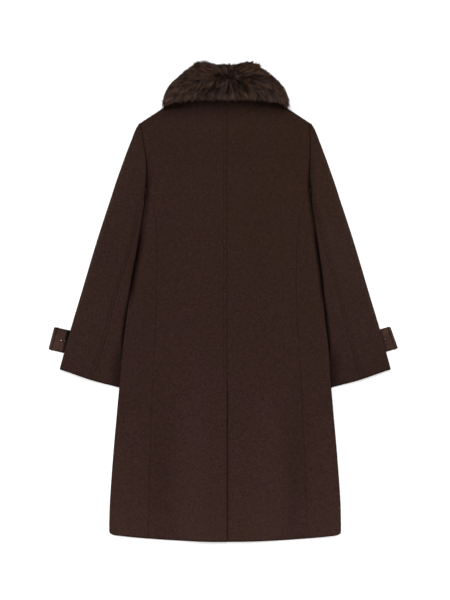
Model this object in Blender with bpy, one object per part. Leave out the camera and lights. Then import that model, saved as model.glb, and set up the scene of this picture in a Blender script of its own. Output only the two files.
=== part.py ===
# A woman's wool coat with a fur collar, laid flat on its front with the back up.
# Metres, +Z up, +Y towards the collar. The origin is on the floor under the middle of the coat.

import math
from collections import namedtuple

import bmesh
import bpy
from mathutils import Vector

MM = 0.001

# Cloth
WALL = 2.8 * MM  # melton with its lining
SEAM = 0.3 * MM  # between two pieces at a seam
LAP = WALL + 0.5 * MM  # rise of a wall that lies on another
HOLLOW = 1.0 * MM  # between the two walls of a flat tube
STAND_WALL = 3.0 * MM

# Lines that run along the coat
AXIS_X = 5.3 * MM  # middle of the outline
BACK_SEAM_X = 9.6 * MM
BACK_NECK_Y = 493 * MM
NECK_POINT_Y = 502 * MM
NECK_HALF = 91 * MM
FRONT_NECK_Y = 433 * MM
SHOULDER_Y = 430 * MM
UNDERARM_Y = 275 * MM
HEM_Y = -575.4 * MM
HEM_CURVE = 0.215  # how fast the hem rises to the sides, per metre
HEM_CORNER = 4 * MM

# Fronts and vent
FRONT_LAP = 35 * MM  # each front passes the middle by this
VENT_TOP_Y = -208 * MM
VENT_LAP = 42 * MM
SIDE_TURN = 60 * MM  # how far a side panel turns under

# Body over the sleeves
TUCK = 15 * MM  # how far a sleeve lies under the body
TUCK_FROM_Y = 217 * MM
TUCK_FULL_Y = 150 * MM
CUFF_END_Y = -214 * MM

# Collar
COLLAR_TOP_HALF = 79 * MM
COLLAR_EDGE_HALF = 156 * MM
COLLAR_FLARE = 2.2
COLLAR_ROLL_Y = 563.5 * MM
COLLAR_BACK_EDGE_Y = 488 * MM
COLLAR_SIDE_EDGE_Y = 468 * MM
COLLAR_FRONT_EDGE_Y = 424 * MM
COLLAR_FRONT_DROP = 50 * MM
COLLAR_BACK_FUR = 15 * MM
COLLAR_SIDE_FUR = 14 * MM
COLLAR_FRONT_FUR = 12 * MM
COLLAR_HOLLOW = 10.4 * MM
COLLAR_LUMP = 6 * MM
COLLAR_LUMP_X = 60 * MM
COLLAR_LUMP_WIDTH = 34 * MM
COLLAR_GAP = 3 * MM  # half the gap between its ends at the centre front

# Cuff tabs
TAB_WIDTH = 55 * MM
TAB_LENGTH = 60 * MM
TAB_THICK = 3.2 * MM
TAB_CORNER = 5 * MM
STUD_RADIUS = 3.2 * MM
STUD_HEIGHT = 1.6 * MM
EYELET_RADIUS = 2.6 * MM
EYELET_HOLE = 1.3 * MM
EYELET_HEIGHT = 0.8 * MM

# Sections of the body in millimetres: its edge on each side, which is the armhole above the underarm
Section = namedtuple("Section", "y left right")
BODY_EDGES = (
    Section(430, -198, 207),
    Section(389, -192.5, 208.5),
    Section(339, -184.5, 208.5),
    Section(284, -183.5, 207),
    Section(241, -187, 210.5),
    Section(202, -192.5, 216),
    Section(125, -204, 226.5),
    Section(65, -215.5, 235),
    Section(5, -228, 242.5),
    Section(-55, -237.5, 249),
    Section(-115, -243.5, 255),
    Section(-201, -247.5, 258.5),
    Section(-263, -253.5, 264),
    Section(-379, -263.5, 274),
    Section(-494, -271.5, 282),
    Section(-551, -273.5, 283.5),
    Section(-576, -273.5, 283.5),
)

# Princess seams, from the armholes to the hem
PRINCESS_SEAMS = (
    Section(284, -182, 205.5),
    Section(241, -170, 195.5),
    Section(202, -162.5, 185.5),
    Section(166, -159, 180),
    Section(125, -157.5, 176.5),
    Section(5, -160, 176),
    Section(-115, -165, 183),
    Section(-201, -169, 188),
    Section(-379, -175, 196),
    Section(-576, -179, 205),
)

# Shoulder lines, as distances from the axis, from the neck point to the sleeve head
Shoulder = namedtuple("Shoulder", "half y")
SHOULDER = (
    Shoulder(91, 502),
    Shoulder(126, 481),
    Shoulder(150, 464.5),
    Shoulder(203.3, 430),
)

# Sections of a sleeve: the outer fold's distance from the axis, the height of the inner side at the same
# section, and where the back seam lies across the section, from the outer fold at 0 to the inner at 1
Sleeve = namedtuple("Sleeve", "y outer inner_y left_seam right_seam")
SLEEVE = (
    Sleeve(426, 208, 429, 1.0, 1.0),
    Sleeve(417, 214, 402, 1.0, 1.0),
    Sleeve(389, 225.5, 361, 1.0, 1.0),
    Sleeve(353, 239.5, 314, 1.0, 1.0),
    Sleeve(317, 252.5, 274, 1.0, 1.0),
    Sleeve(281, 265, 240, 0.86, 0.84),
    Sleeve(245, 276.5, 202, 0.79, 0.76),
    Sleeve(209, 288.5, 165, 0.75, 0.71),
    Sleeve(137, 311.5, 93, 0.70, 0.66),
    Sleeve(41, 340, -4, 0.62, 0.58),
    Sleeve(-66, 371.5, -112, 0.56, 0.52),
    Sleeve(-158, 397, -205, 0.47, 0.43),
)
SLEEVE_SEAM_Y = 317  # height of the outer fold where the back seam starts, in millimetres
FRONT_SEAM = 24 * MM  # how far the hidden front seam lies from the inner fold
SLEEVE_PUFF = 2.4 * MM  # extra room in the middle of a sleeve

# Soft folds of the skirt
Fold = namedtuple("Fold", "x_top x_hem half_width height start_y")
SKIRT_FOLDS = (
    Fold(-75, -62, 62, 2.6, -150),
    Fold(80, 92, 68, 2.6, -120),
    Fold(-200, -222, 42, 1.6, -260),
    Fold(215, 240, 40, 1.6, -240),
)

# Tabs and what sits on them: the middle of the tab's outer end, and its slope
Tab = namedtuple("Tab", "x y slope stud eyelet")
TABS = {
    "left": Tab(-412, -87.5, 13.5, 22, 30),
    "right": Tab(410.5, -86, 15.5, 20, 11),
}

SIDES = {"left": -1, "right": 1}


def ease(t):
    t = min(max(t, 0.0), 1.0)
    return t * t * (3.0 - 2.0 * t)


def bump(t):
    return math.cos(min(abs(t), 1.0) * math.pi / 2) ** 2


def mix(a, b, t):
    return a + (b - a) * t


# Smooth curve through two columns of a table in millimetres, given and returned in metres
def along(table, key, column, value):
    keys = [getattr(row, key) for row in table]
    values = [getattr(row, column) for row in table]
    if keys[0] > keys[-1]:
        keys.reverse()
        values.reverse()
    at = min(max(value / MM, keys[0]), keys[-1])
    last = len(keys) - 1
    i = max(k for k in range(last) if keys[k] <= at)
    span = keys[i + 1] - keys[i]
    rise = (values[i + 1] - values[i]) / span
    before, after = rise, rise
    if i > 0:
        before = (values[i + 1] - values[i - 1]) / (keys[i + 1] - keys[i - 1])
    if i + 1 < last:
        after = (values[i + 2] - values[i]) / (keys[i + 2] - keys[i])
    t = (at - keys[i]) / span
    bend = (before - rise) * (1 - t) - (after - rise) * t
    return (mix(values[i], values[i + 1], t) + t * (1 - t) * span * bend) * MM


def body_edge(side, y):
    return along(BODY_EDGES, "y", side, y)


def princess_seam(side, y):
    return along(PRINCESS_SEAMS, "y", side, y)


def hem_rise(x):
    return HEM_CURVE * (x - BACK_SEAM_X) ** 2


# Hidden line on the lower wall where a side panel meets its front
def front_side_seam(side, y):
    turned = mix(9 * MM, SIDE_TURN, ease((UNDERARM_Y - y) / 0.28))
    return body_edge(side, y) - SIDES[side] * turned


# How far the collar's front, which lies on the floor, holds the cloth over it up
def collar_lift(x, y):
    reach_x = 160 * MM
    reach_y = 79 * MM
    middle_y = 495 * MM
    out = math.hypot((x - AXIS_X) / reach_x, min(y - middle_y, 0.0) / reach_y)
    return (COLLAR_FRONT_FUR + SEAM) * (1 - ease((out - 1.03) / 1.3))


def sleeve_stack():
    return 2 * WALL + HOLLOW + SEAM


# How far the sleeves' inner sides hold the body's sides up
def sleeve_lift(x, y):
    side = "left" if x < AXIS_X else "right"
    inward = abs(body_edge(side, y) - x)
    across = 1 - ease((inward - TUCK - 8 * MM) / (60 * MM))
    down = ease((UNDERARM_Y - y) / (UNDERARM_Y - TUCK_FROM_Y))
    past_cuff = ease((CUFF_END_Y - y) / (80 * MM))
    return sleeve_stack() * across * down * (1 - past_cuff)


def body_floor(x, y):
    return collar_lift(x, y) + sleeve_lift(x, y)


def shoulder_line(x):
    return along(SHOULDER, "half", "y", abs(x - AXIS_X))


# Room between the walls, which close on each other at the shoulder seam
def hollow(x, y):
    return mix(SEAM, HOLLOW, ease((shoulder_line(x) - y) / (30 * MM)))


def skirt_fold(x, y):
    height = 0.0
    for fold in SKIRT_FOLDS:
        down = (fold.start_y * MM - y) / (fold.start_y * MM - HEM_Y)
        middle = mix(fold.x_top, fold.x_hem, down) * MM
        height += fold.height * MM * ease(down) * bump((x - middle) / (fold.half_width * MM))
    return height


# How far the lapped fronts hold the back up, and how far the vent's lap does
def front_lap_lift(x):
    return LAP * (1 - ease((abs(x - AXIS_X) - FRONT_LAP - 8 * MM) / (60 * MM)))


def vent_lift(x, y):
    across = 1 - ease((BACK_SEAM_X - x - VENT_LAP - 3 * MM) / (45 * MM))
    return LAP * across * ease((VENT_TOP_Y + 40 * MM - y) / (36 * MM))


def under_back(x, y):
    return body_floor(x, y) + WALL + hollow(x, y) + front_lap_lift(x) + skirt_fold(x, y)


def material(name, colour, roughness, metallic=0.0):
    made = bpy.data.materials.new(name)
    made.use_nodes = True
    shader = made.node_tree.nodes["Principled BSDF"]
    shader.inputs["Base Color"].default_value = (*colour, 1.0)
    shader.inputs["Roughness"].default_value = roughness
    shader.inputs["Metallic"].default_value = metallic
    return made


def add_object(name, shape, finish, sharp=50):
    mesh = bpy.data.meshes.new(name)
    bmesh.ops.recalc_face_normals(shape, faces=shape.faces)
    shape.to_mesh(mesh)
    shape.free()
    mesh.materials.append(finish)
    mesh.shade_smooth()
    mesh.set_sharp_from_angle(angle=math.radians(sharp))
    made = bpy.data.objects.new(name, mesh)
    bpy.context.collection.objects.link(made)
    made.parent = root
    return made


# A wall of cloth between two grids of points, closed round its rim; skip names the cells left out
def wall(name, outside, inside, finish, skip=lambda row, column: False):
    shape = bmesh.new()
    rows = range(len(outside) - 1)
    columns = range(len(outside[0]) - 1)
    cells = [(r, c) for r in rows for c in columns if not skip(r, c)]
    corners = {(r + i, c + j) for r, c in cells for i in (0, 1) for j in (0, 1)}
    faces_of = {}
    sheets = []
    for grid in (outside, inside):
        sheets.append({rc: shape.verts.new(grid[rc[0]][rc[1]]) for rc in sorted(corners)})
    for r, c in cells:
        loop = [(r, c), (r, c + 1), (r + 1, c + 1), (r + 1, c)]
        for start, end in zip(loop, loop[1:] + loop[:1]):
            faces_of.setdefault(frozenset((start, end)), []).append((start, end))
        for sheet in sheets:
            shape.faces.new([sheet[corner] for corner in loop])
    for uses in faces_of.values():
        if len(uses) == 1:
            start, end = uses[0]
            shape.faces.new([sheets[0][start], sheets[0][end], sheets[1][end], sheets[1][start]])
    return add_object(name, shape, finish)


def steps(start, end, count):
    return [mix(start, end, i / count) for i in range(count + 1)]


BODY_ROWS = [y * MM for y in (258, 240, 220, 200, 165, 125, 75, 15, -55, -125, -195)]
SKIRT_ROWS = [y * MM for y in (-225, -262, -310, -365, -420, -475, -530, -560)]


UNDERARM_FAN = 9 * MM  # how far the two rows at an underarm spread towards the middle
NECK_DIP_ROWS = 8  # rows over which the neck's curve fades out

# Distances of a back's first columns from its middle seam, in millimetres; the third is the vent's lap
VENT_COLUMNS = (0, 21, 42, 63)


# Points down the outer side of a back or front: shoulder, armhole, then the seam with the side panel
def outer_side(side, seam):
    sign = SIDES[side]
    points = []
    for half in steps(SHOULDER[0].half, SHOULDER[-1].half, 5):
        points.append((AXIS_X + sign * half * MM, shoulder_line(AXIS_X + half * MM)))
    points[-1] = (body_edge(side, SHOULDER_Y), SHOULDER_Y)
    for y in steps(SHOULDER_Y, UNDERARM_Y + 2 * SEAM, 6)[1:]:
        points.append((body_edge(side, y), y))
    for y in [UNDERARM_Y + SEAM, *BODY_ROWS, *SKIRT_ROWS, HEM_Y]:
        points.append((seam(side, y) - sign * SEAM / 2, y))
    return points


# Height of the neck seam, round at the back and straight-sided at the front
def back_neck(x):
    return mix(BACK_NECK_Y, NECK_POINT_Y, min(abs(x - AXIS_X) / NECK_HALF, 1.0) ** 2)


def front_neck(x):
    out = (abs(x - AXIS_X) - FRONT_LAP) / (NECK_HALF - FRONT_LAP)
    return mix(FRONT_NECK_Y, NECK_POINT_Y, min(max(out, 0.0), 1.0))


# Plan points of a panel that hangs between its outer side and a line near the middle; the first columns
# keep their distances from that line, and the others share what is left
def panel_plan(side, seam, middle_x, neck, distances, columns):
    sign = SIDES[side]
    outer = outer_side(side, seam)
    top_y = neck(middle_x)
    rows = []
    for i, (x, y) in enumerate(outer):
        level = ease((NECK_POINT_Y - y) / (NECK_POINT_Y - UNDERARM_Y))
        middle_y = y - (NECK_POINT_Y - top_y) * (1 - level)
        if abs(y - UNDERARM_Y) < 3 * SEAM:
            middle_y += UNDERARM_FAN if y > UNDERARM_Y + 1.5 * SEAM else -UNDERARM_FAN
        row_xs = [middle_x + sign * distance * MM for distance in distances]
        level_x = row_xs[-1]
        row_xs += steps(level_x, x, columns)[1:]
        dip = 1 - ease(i / NECK_DIP_ROWS)
        row = []
        for column, at_x in enumerate(row_xs):
            out = max((at_x - level_x) / (x - level_x), 0.0)
            neck_x = mix(level_x, AXIS_X + sign * NECK_HALF, out) if column >= len(distances) else at_x
            dipped = neck(neck_x) - mix(top_y, NECK_POINT_Y, out)
            at_y = mix(middle_y, y, out) + dip * dipped
            turned = ease((UNDERARM_Y - at_y) / (UNDERARM_Y - HEM_Y))
            row.append((at_x, at_y + hem_rise(at_x) * turned))
        rows.append(row)
    return rows


def sheet_at(plan, height):
    low = [[Vector((x, y, height(x, y))) for x, y in row] for row in plan]
    high = [[point + Vector((0, 0, WALL)) for point in row] for row in low]
    return high, low


def make_backs():
    plan = panel_plan("left", princess_seam, BACK_SEAM_X - SEAM / 2, back_neck, VENT_COLUMNS, 4)
    high, low = sheet_at(plan, lambda x, y: under_back(x, y) + vent_lift(x, y))
    wall("back_left", high, low, wool)
    plan = panel_plan("right", princess_seam, BACK_SEAM_X + SEAM / 2, back_neck, VENT_COLUMNS, 4)
    for row in plan:
        for distance in VENT_COLUMNS[1:3]:
            row.insert(0, (BACK_SEAM_X - distance * MM, row[0][1]))
    high, low = sheet_at(plan, under_back)
    wall("back_right", high, low, wool, lambda r, c: c < 2 and plan[r][c][1] > VENT_TOP_Y)


def make_fronts():
    def over_lap(x, y):
        past = AXIS_X - FRONT_LAP - 6 * MM - x
        return body_floor(x, y) + LAP * (1 - ease(past / (30 * MM)))

    plan = panel_plan("left", front_side_seam, AXIS_X + FRONT_LAP, front_neck, (0, 35, 70, 76, 108), 4)
    high, low = sheet_at(plan, over_lap)
    wall("front_left", low, high, wool)
    plan = panel_plan("right", front_side_seam, AXIS_X - FRONT_LAP, front_neck, (0, 35, 70, 98), 4)
    high, low = sheet_at(plan, body_floor)
    wall("front_right", low, high, wool)


# Half turn of a flat tube's wall round its folded edge; out points away from the tube
def fold_turn(edge, out, floor, room, count=4):
    centre = edge - out * (WALL + room / 2)
    middle = Vector((centre.x, centre.y, floor + WALL + room / 2))
    turn = []
    for angle in steps(90, -90, count):
        ray = out * math.cos(math.radians(angle)) + Vector((0, 0, math.sin(math.radians(angle))))
        turn.append((middle + ray * (WALL + room / 2), middle + ray * (room / 2)))
    return turn, centre


def make_side(side):
    sign = SIDES[side]
    out = Vector((sign, 0, 0))
    outside = []
    inside = []
    for y in [UNDERARM_Y, *BODY_ROWS, *SKIRT_ROWS, HEM_Y]:
        edge = Vector((body_edge(side, y), y, 0))
        room = hollow(edge.x, y) + skirt_fold(edge.x, y)
        turn, centre = fold_turn(edge, out, body_floor(edge.x, y), room)
        top = []
        for x in steps(princess_seam(side, y) + sign * SEAM / 2, centre.x, 4)[:-1]:
            low = Vector((x, y, under_back(x, y)))
            top.append((low + Vector((0, 0, WALL)), low))
        bottom = []
        for x in steps(centre.x, front_side_seam(side, y) + sign * SEAM / 2, 4)[1:]:
            low = Vector((x, y, body_floor(x, y)))
            bottom.append((low, low + Vector((0, 0, WALL))))
        section = [*top, *turn, *bottom]
        down = ease((UNDERARM_Y - y) / (UNDERARM_Y - HEM_Y))
        for pair in section:
            for point in pair:
                corner = HEM_CORNER * (1 - ease(abs(edge.x - point.x) / (12 * MM)))
                point.y += (hem_rise(point.x) + corner) * down
        outside.append([pair[0] for pair in section])
        inside.append([pair[1] for pair in section])
    wall("side_" + side, outside, inside, wool)


# How far a tab that lies under a sleeve holds it up
def tab_lift(side, x, y):
    tab = TABS[side]
    slope = math.radians(tab.slope)
    inward = Vector((-SIDES[side] * math.cos(slope), -math.sin(slope)))
    offset = Vector((x - tab.x * MM, y - tab.y * MM))
    along_tab = offset.dot(inward)
    across_tab = abs(offset.dot(Vector((-inward.y, inward.x))))
    past = math.hypot(max(along_tab - TAB_LENGTH, 0.0), max(across_tab - TAB_WIDTH / 2, 0.0))
    return (TAB_THICK + SEAM) * (1 - ease((past - 22 * MM) / (50 * MM)))


# One section of a sleeve: both folded edges, the way across, and the two seams' places
def sleeve_section(side, y):
    sign = SIDES[side]
    outer = Vector((AXIS_X + sign * along(SLEEVE, "y", "outer", y), y, 0))
    inner_y = along(SLEEVE, "y", "inner_y", y)
    tuck = TUCK * ease((TUCK_FROM_Y - inner_y) / (TUCK_FROM_Y - TUCK_FULL_Y)) - SEAM
    inner = Vector((body_edge(side, inner_y) - sign * tuck, inner_y, 0))
    return outer, inner, along(SLEEVE, "y", side + "_seam", y) / MM


def make_sleeve(side):
    def floor(point):
        return collar_lift(point.x, point.y) + tab_lift(side, point.x, point.y)

    def room(point, t):
        return hollow(point.x, point.y) + SLEEVE_PUFF * bump((t - 0.42) / 0.4)

    def top_at(point, t):
        low = Vector((point.x, point.y, floor(point) + WALL + room(point, t)))
        return low + Vector((0, 0, WALL)), low

    def bottom_at(point):
        low = Vector((point.x, point.y, floor(point)))
        return low, low + Vector((0, 0, WALL))

    seam_y = SLEEVE_SEAM_Y * MM
    head_rows = [y * MM for y in (426, 417, 403, 389, 371, 353, 335, SLEEVE_SEAM_Y)]
    arm_rows = [y * MM for y in (281, 245, 209, 165, 115, 65, 20, -25, -58, -92, -120, -140, -158)]
    pieces = {"upper": ([], []), "under": ([], [])}
    for y in head_rows + [seam_y - SEAM] + arm_rows:
        outer, inner, seam = sleeve_section(side, y)
        width = (inner - outer).length
        across = (inner - outer) / width
        half_gap = SEAM / 2 / width
        on_head = y >= seam_y
        front = 1.0 if on_head else 1 - FRONT_SEAM / width
        back = 1.0 if on_head else min(seam, 1 - 9 * MM / width)
        turn, centre = fold_turn(outer, -across, floor(outer), room(outer, 0))
        start = (centre - outer).length / width
        top = [top_at(outer.lerp(inner, t), t) for t in steps(back - half_gap, start, 6)[:-1]]
        bottom = [bottom_at(outer.lerp(inner, t)) for t in steps(start, front - half_gap, 5)[1:]]
        outside, inside = pieces["upper"]
        outside.append([pair[0] for pair in top + turn + bottom])
        inside.append([pair[1] for pair in top + turn + bottom])
        if on_head:
            continue
        turn, centre = fold_turn(inner, across, floor(inner), room(inner, 1))
        end = (centre - outer).length / width
        top = [top_at(outer.lerp(inner, t), t) for t in steps(back + half_gap, end, 4)[:-1]]
        bottom = [bottom_at(outer.lerp(inner, t)) for t in steps(end, front + half_gap, 2)[1:]]
        outside, inside = pieces["under"]
        outside.append([pair[0] for pair in top + turn + bottom])
        inside.append([pair[1] for pair in top + turn + bottom])
    for piece, (outside, inside) in pieces.items():
        wall("sleeve_" + piece + "_" + side, outside, inside, wool)


# Places round the flattened ring of the collar, from the left end under the coat, over the back, to the
# right end: how far out along x from 0 to 1, the way out from the ring, and how much it is front
Place = namedtuple("Place", "flat_x out_x out_z front")


def ring_places():
    places = []
    for t in steps(0, 1, 5)[:-1]:
        places.append(Place(-t, 0.0, -1.0, 1.0))
    for angle in steps(-90, 90, 6):
        turn = math.radians(angle)
        places.append(Place(-1.0, -math.cos(turn), math.sin(turn), 0.5 - 0.5 * math.sin(turn)))
    for t in steps(-1, 1, 12)[1:-1]:
        places.append(Place(t, 0.0, 1.0, 0.0))
    for angle in steps(90, -90, 6):
        turn = math.radians(angle)
        places.append(Place(1.0, math.cos(turn), math.sin(turn), 0.5 - 0.5 * math.sin(turn)))
    for t in steps(1, 0, 5)[1:]:
        places.append(Place(t, 0.0, -1.0, 1.0))
    return places


def roll_y(place):
    near_centre = 1 - place.flat_x ** 2
    lump = 0.0
    for side in (-1, 1):
        away = place.flat_x * COLLAR_TOP_HALF - side * COLLAR_LUMP_X
        lump += COLLAR_LUMP * bump(away / COLLAR_LUMP_WIDTH)
    dropped = COLLAR_FRONT_DROP * near_centre * place.front
    return COLLAR_ROLL_Y + lump * (1 - place.front) - dropped


def edge_y(place):
    near_centre = 1 - place.flat_x ** 2
    back = mix(COLLAR_SIDE_EDGE_Y, COLLAR_BACK_EDGE_Y, near_centre)
    front = mix(COLLAR_SIDE_EDGE_Y, COLLAR_FRONT_EDGE_Y, math.sqrt(near_centre))
    return mix(back, front, place.front)


def collar_half(down):
    spread = 1 - (1 - min(max(down, 0.0), 1.0)) ** COLLAR_FLARE
    return mix(COLLAR_TOP_HALF, COLLAR_EDGE_HALF, spread)


def fur_depth(place):
    flat = COLLAR_FRONT_FUR if place.out_z < 0 else COLLAR_BACK_FUR
    return mix(flat, COLLAR_SIDE_FUR, abs(place.out_x))


# Point of the ring at a half width and a height along the coat, at a depth out from its hollow
def ring_point(place, half, y, radius, depth, end_gap):
    centre_z = COLLAR_FRONT_FUR + COLLAR_HOLLOW / 2
    flat = place.flat_x * (half - radius)
    if place.front == 1.0 and abs(flat) < end_gap:
        flat = -end_gap if end_gap_side(place) else end_gap
    x = AXIS_X + flat + place.out_x * (radius + depth)
    return Vector((x, y, centre_z + place.out_z * (radius + depth)))


def end_gap_side(place):
    return math.copysign(1.0, place.flat_x) < 0


def make_collar():
    places = ring_places()
    shape = bmesh.new()
    loops = []
    for place in places:
        top = roll_y(place)
        bottom = edge_y(place)
        depth = fur_depth(place)
        cap = depth / 2
        loop = []
        for down in (1.0, 0.8, 0.6, 0.4, 0.2, 0.0):
            half = collar_half(down) - depth
            loop.append(ring_point(place, half, mix(top, bottom + cap, down), COLLAR_HOLLOW / 2, 0, COLLAR_GAP))
        for angle in (-55, -20, 20, 55):
            turn = math.radians(angle)
            y = top + cap * math.cos(turn)
            out = depth / 2 * (1 + math.sin(turn))
            half = collar_half(0.0) - depth
            loop.append(ring_point(place, half, y, COLLAR_HOLLOW / 2, out, COLLAR_GAP))
        for down in (0.0, 0.12, 0.25, 0.4, 0.55, 0.7, 0.85, 1.0):
            half = collar_half(down) - depth
            out = depth
            loop.append(ring_point(place, half, mix(top, bottom + cap, down), COLLAR_HOLLOW / 2, out, COLLAR_GAP))
        for angle in (55, 20, -20, -55):
            turn = math.radians(angle)
            y = bottom + cap - cap * math.cos(turn)
            out = depth / 2 * (1 + math.sin(turn))
            half = collar_half(1.0) - depth
            loop.append(ring_point(place, half, y, COLLAR_HOLLOW / 2, out, COLLAR_GAP))
        loops.append([shape.verts.new(point) for point in loop])
    for one, other in zip(loops, loops[1:]):
        for i in range(len(one)):
            j = (i + 1) % len(one)
            shape.faces.new([one[i], one[j], other[j], other[i]])
    shape.faces.new(loops[0])
    shape.faces.new(list(reversed(loops[-1])))
    add_object("collar_fur", shape, fur)


def make_stand():
    outside = []
    inside = []
    radius = COLLAR_HOLLOW / 2 - SEAM
    for place in ring_places():
        top_half = COLLAR_TOP_HALF - fur_depth(place) - SEAM
        outer_row = []
        inner_row = []
        for up in steps(0, 1, 4):
            half = mix(NECK_HALF, top_half, up)
            outer = ring_point(place, half, 0, radius, 0, COLLAR_GAP)
            inner = ring_point(place, half, 0, radius, -STAND_WALL, COLLAR_GAP)
            seam_y = mix(back_neck(outer.x), front_neck(outer.x), place.front)
            clear = mix(2 * SEAM, 5 * SEAM, abs(place.out_x))
            outer.y = inner.y = mix(seam_y + clear, roll_y(place), up)
            outer_row.append(outer)
            inner_row.append(inner)
        outside.append(outer_row)
        inside.append(inner_row)
    wall("collar_stand", outside, inside, wool)


# Points round one corner of a tab's outer end, from x 0 inward
def corner_points(end):
    points = []
    for angle in steps(0, 90, 3):
        turn = math.radians(angle)
        x = TAB_CORNER * (1 - math.cos(turn))
        y = end * (TAB_WIDTH / 2 - TAB_CORNER * (1 - math.sin(turn)))
        points.append((x, y))
    return points


def make_tab(side):
    tab = TABS[side]
    turn = math.radians(tab.slope)
    heading = -turn if side == "left" else math.pi + turn
    place = Vector((tab.x * MM, tab.y * MM, 0))
    inward = Vector((math.cos(heading), math.sin(heading), 0))

    shape = bmesh.new()
    sewn_end = [(TAB_LENGTH, TAB_WIDTH / 2), (TAB_LENGTH, -TAB_WIDTH / 2)]
    outline = [*reversed(corner_points(-1)), *corner_points(1), *sewn_end]
    base = shape.faces.new([shape.verts.new((x, y, 0)) for x, y in outline])
    raised = bmesh.ops.extrude_face_region(shape, geom=[base])["geom"]
    tops = [part for part in raised if isinstance(part, bmesh.types.BMVert)]
    bmesh.ops.translate(shape, verts=tops, vec=(0, 0, TAB_THICK))
    made = add_object("cuff_tab_" + side, shape, leather)
    made.location = place
    made.rotation_euler = (0, 0, heading)

    shape = bmesh.new()
    bmesh.ops.create_cone(
        shape, cap_ends=True, segments=20, radius1=STUD_RADIUS, radius2=STUD_RADIUS * 0.7, depth=STUD_HEIGHT
    )
    made = add_object("cuff_stud_" + side, shape, metal)
    made.location = place + inward * tab.stud * MM + Vector((0, 0, TAB_THICK + SEAM + STUD_HEIGHT / 2))

    shape = bmesh.new()
    rings = []
    for radius, z in (
        (EYELET_HOLE, 0),
        (EYELET_RADIUS, 0),
        (EYELET_RADIUS * 0.9, EYELET_HEIGHT),
        (EYELET_HOLE, EYELET_HEIGHT),
    ):
        ring = bmesh.ops.create_circle(shape, segments=20, radius=radius)["verts"]
        bmesh.ops.translate(shape, verts=ring, vec=(0, 0, z))
        rings.append(ring)
    for one, other in zip(rings, rings[1:] + rings[:1]):
        for i in range(len(one)):
            j = (i + 1) % len(one)
            shape.faces.new([one[i], one[j], other[j], other[i]])
    made = add_object("cuff_eyelet_" + side, shape, metal)
    made.location = place + inward * tab.eyelet * MM + Vector((0, 0, TAB_THICK + SEAM))


for old in list(bpy.data.objects):
    bpy.data.objects.remove(old, do_unlink=True)

root = bpy.data.objects.new("coat", None)
bpy.context.collection.objects.link(root)

wool = material("wool", (0.034, 0.018, 0.014), 0.95)
fur = material("fur", (0.038, 0.022, 0.016), 0.9)
leather = material("leather", (0.065, 0.033, 0.024), 0.55)
metal = material("metal", (0.55, 0.50, 0.44), 0.35, 1.0)

make_backs()
make_fronts()
make_collar()
make_stand()
for side in SIDES:
    make_side(side)
    make_sleeve(side)
    make_tab(side)
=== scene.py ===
import bisect
import math
import random

import bmesh
import bpy
from mathutils import Matrix, Vector, noise
from mathutils.bvhtree import BVHTree


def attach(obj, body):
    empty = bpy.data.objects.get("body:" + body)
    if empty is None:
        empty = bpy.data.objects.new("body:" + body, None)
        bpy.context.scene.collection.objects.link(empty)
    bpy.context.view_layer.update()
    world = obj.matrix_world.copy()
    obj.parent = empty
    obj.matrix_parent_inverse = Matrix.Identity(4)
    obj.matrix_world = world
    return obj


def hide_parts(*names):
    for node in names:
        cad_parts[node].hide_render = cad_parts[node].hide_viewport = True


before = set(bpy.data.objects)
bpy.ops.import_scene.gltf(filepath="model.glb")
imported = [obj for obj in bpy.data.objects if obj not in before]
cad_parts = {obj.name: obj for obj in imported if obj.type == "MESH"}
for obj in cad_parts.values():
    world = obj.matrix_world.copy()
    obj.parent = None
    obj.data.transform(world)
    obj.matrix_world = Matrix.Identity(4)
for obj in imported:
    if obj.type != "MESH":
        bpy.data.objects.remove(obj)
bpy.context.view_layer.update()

# A wool coat with a fur collar, laid flat with its back up. Shapes are worked out in millimetres.
mm = 0.001
signs = {"left": -1, "right": 1}


def ease(t):
    t = min(max(t, 0.0), 1.0)
    return t * t * (3 - 2 * t)


def bump(t):
    return math.cos(min(abs(t), 1.0) * math.pi / 2) ** 2


def hump(value, height, middle, half):
    return height * bump((value - middle) / half)


def mix(a, b, t):
    return a + (b - a) * t


def steps(start, end, count):
    return [mix(start, end, i / count) for i in range(count + 1)]


# Smooth curve through pairs of numbers, held level past both ends
def curveThrough(pairs):
    pairs = sorted(pairs)
    keys = [pair[0] for pair in pairs]
    values = [pair[1] for pair in pairs]
    last = len(keys) - 1
    slopes = []
    for i in range(last + 1):
        low, high = max(i - 1, 0), min(i + 1, last)
        slopes.append((values[high] - values[low]) / (keys[high] - keys[low]))

    def curve(value):
        at = min(max(value, keys[0]), keys[-1])
        i = min(bisect.bisect_right(keys, at) - 1, last - 1)
        span = keys[i + 1] - keys[i]
        rise = (values[i + 1] - values[i]) / span
        t = (at - keys[i]) / span
        bend = (slopes[i] - rise) * (1 - t) - (slopes[i + 1] - rise) * t
        return mix(values[i], values[i + 1], t) + t * (1 - t) * span * bend

    return curve


# One curve for each further column of a table whose first column is y
def tableCurves(rows):
    return [curveThrough([(row[0], row[i]) for row in rows]) for i in range(1, len(rows[0]))]


# Falls from its strength at an edge to nothing over a width
def fade(away, strength, width):
    return strength * (1 - ease(away / width))


cloth = {
    "wall": 2.8,  # melton with its lining
    "shell": 2.2,  # what is drawn of it
    "seam": 0.3,
    "meet": 0.4,  # how far two drawn edges run into each other at a seam
    "hollow": 1.0,  # between the two walls of a flat tube
    "bevel": 0.5,
    # height or strength, middle and half width of what shows by an edge: the allowance's press, and a line of painted
    # shade above a hem
    "allowance": (0.3, 6.5, 5),
    "hemShadeLine": (0.34, 1.6, 2.2),
    "swell": 70.0,
}
cloth["lap"] = cloth["wall"] + 0.5

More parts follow.
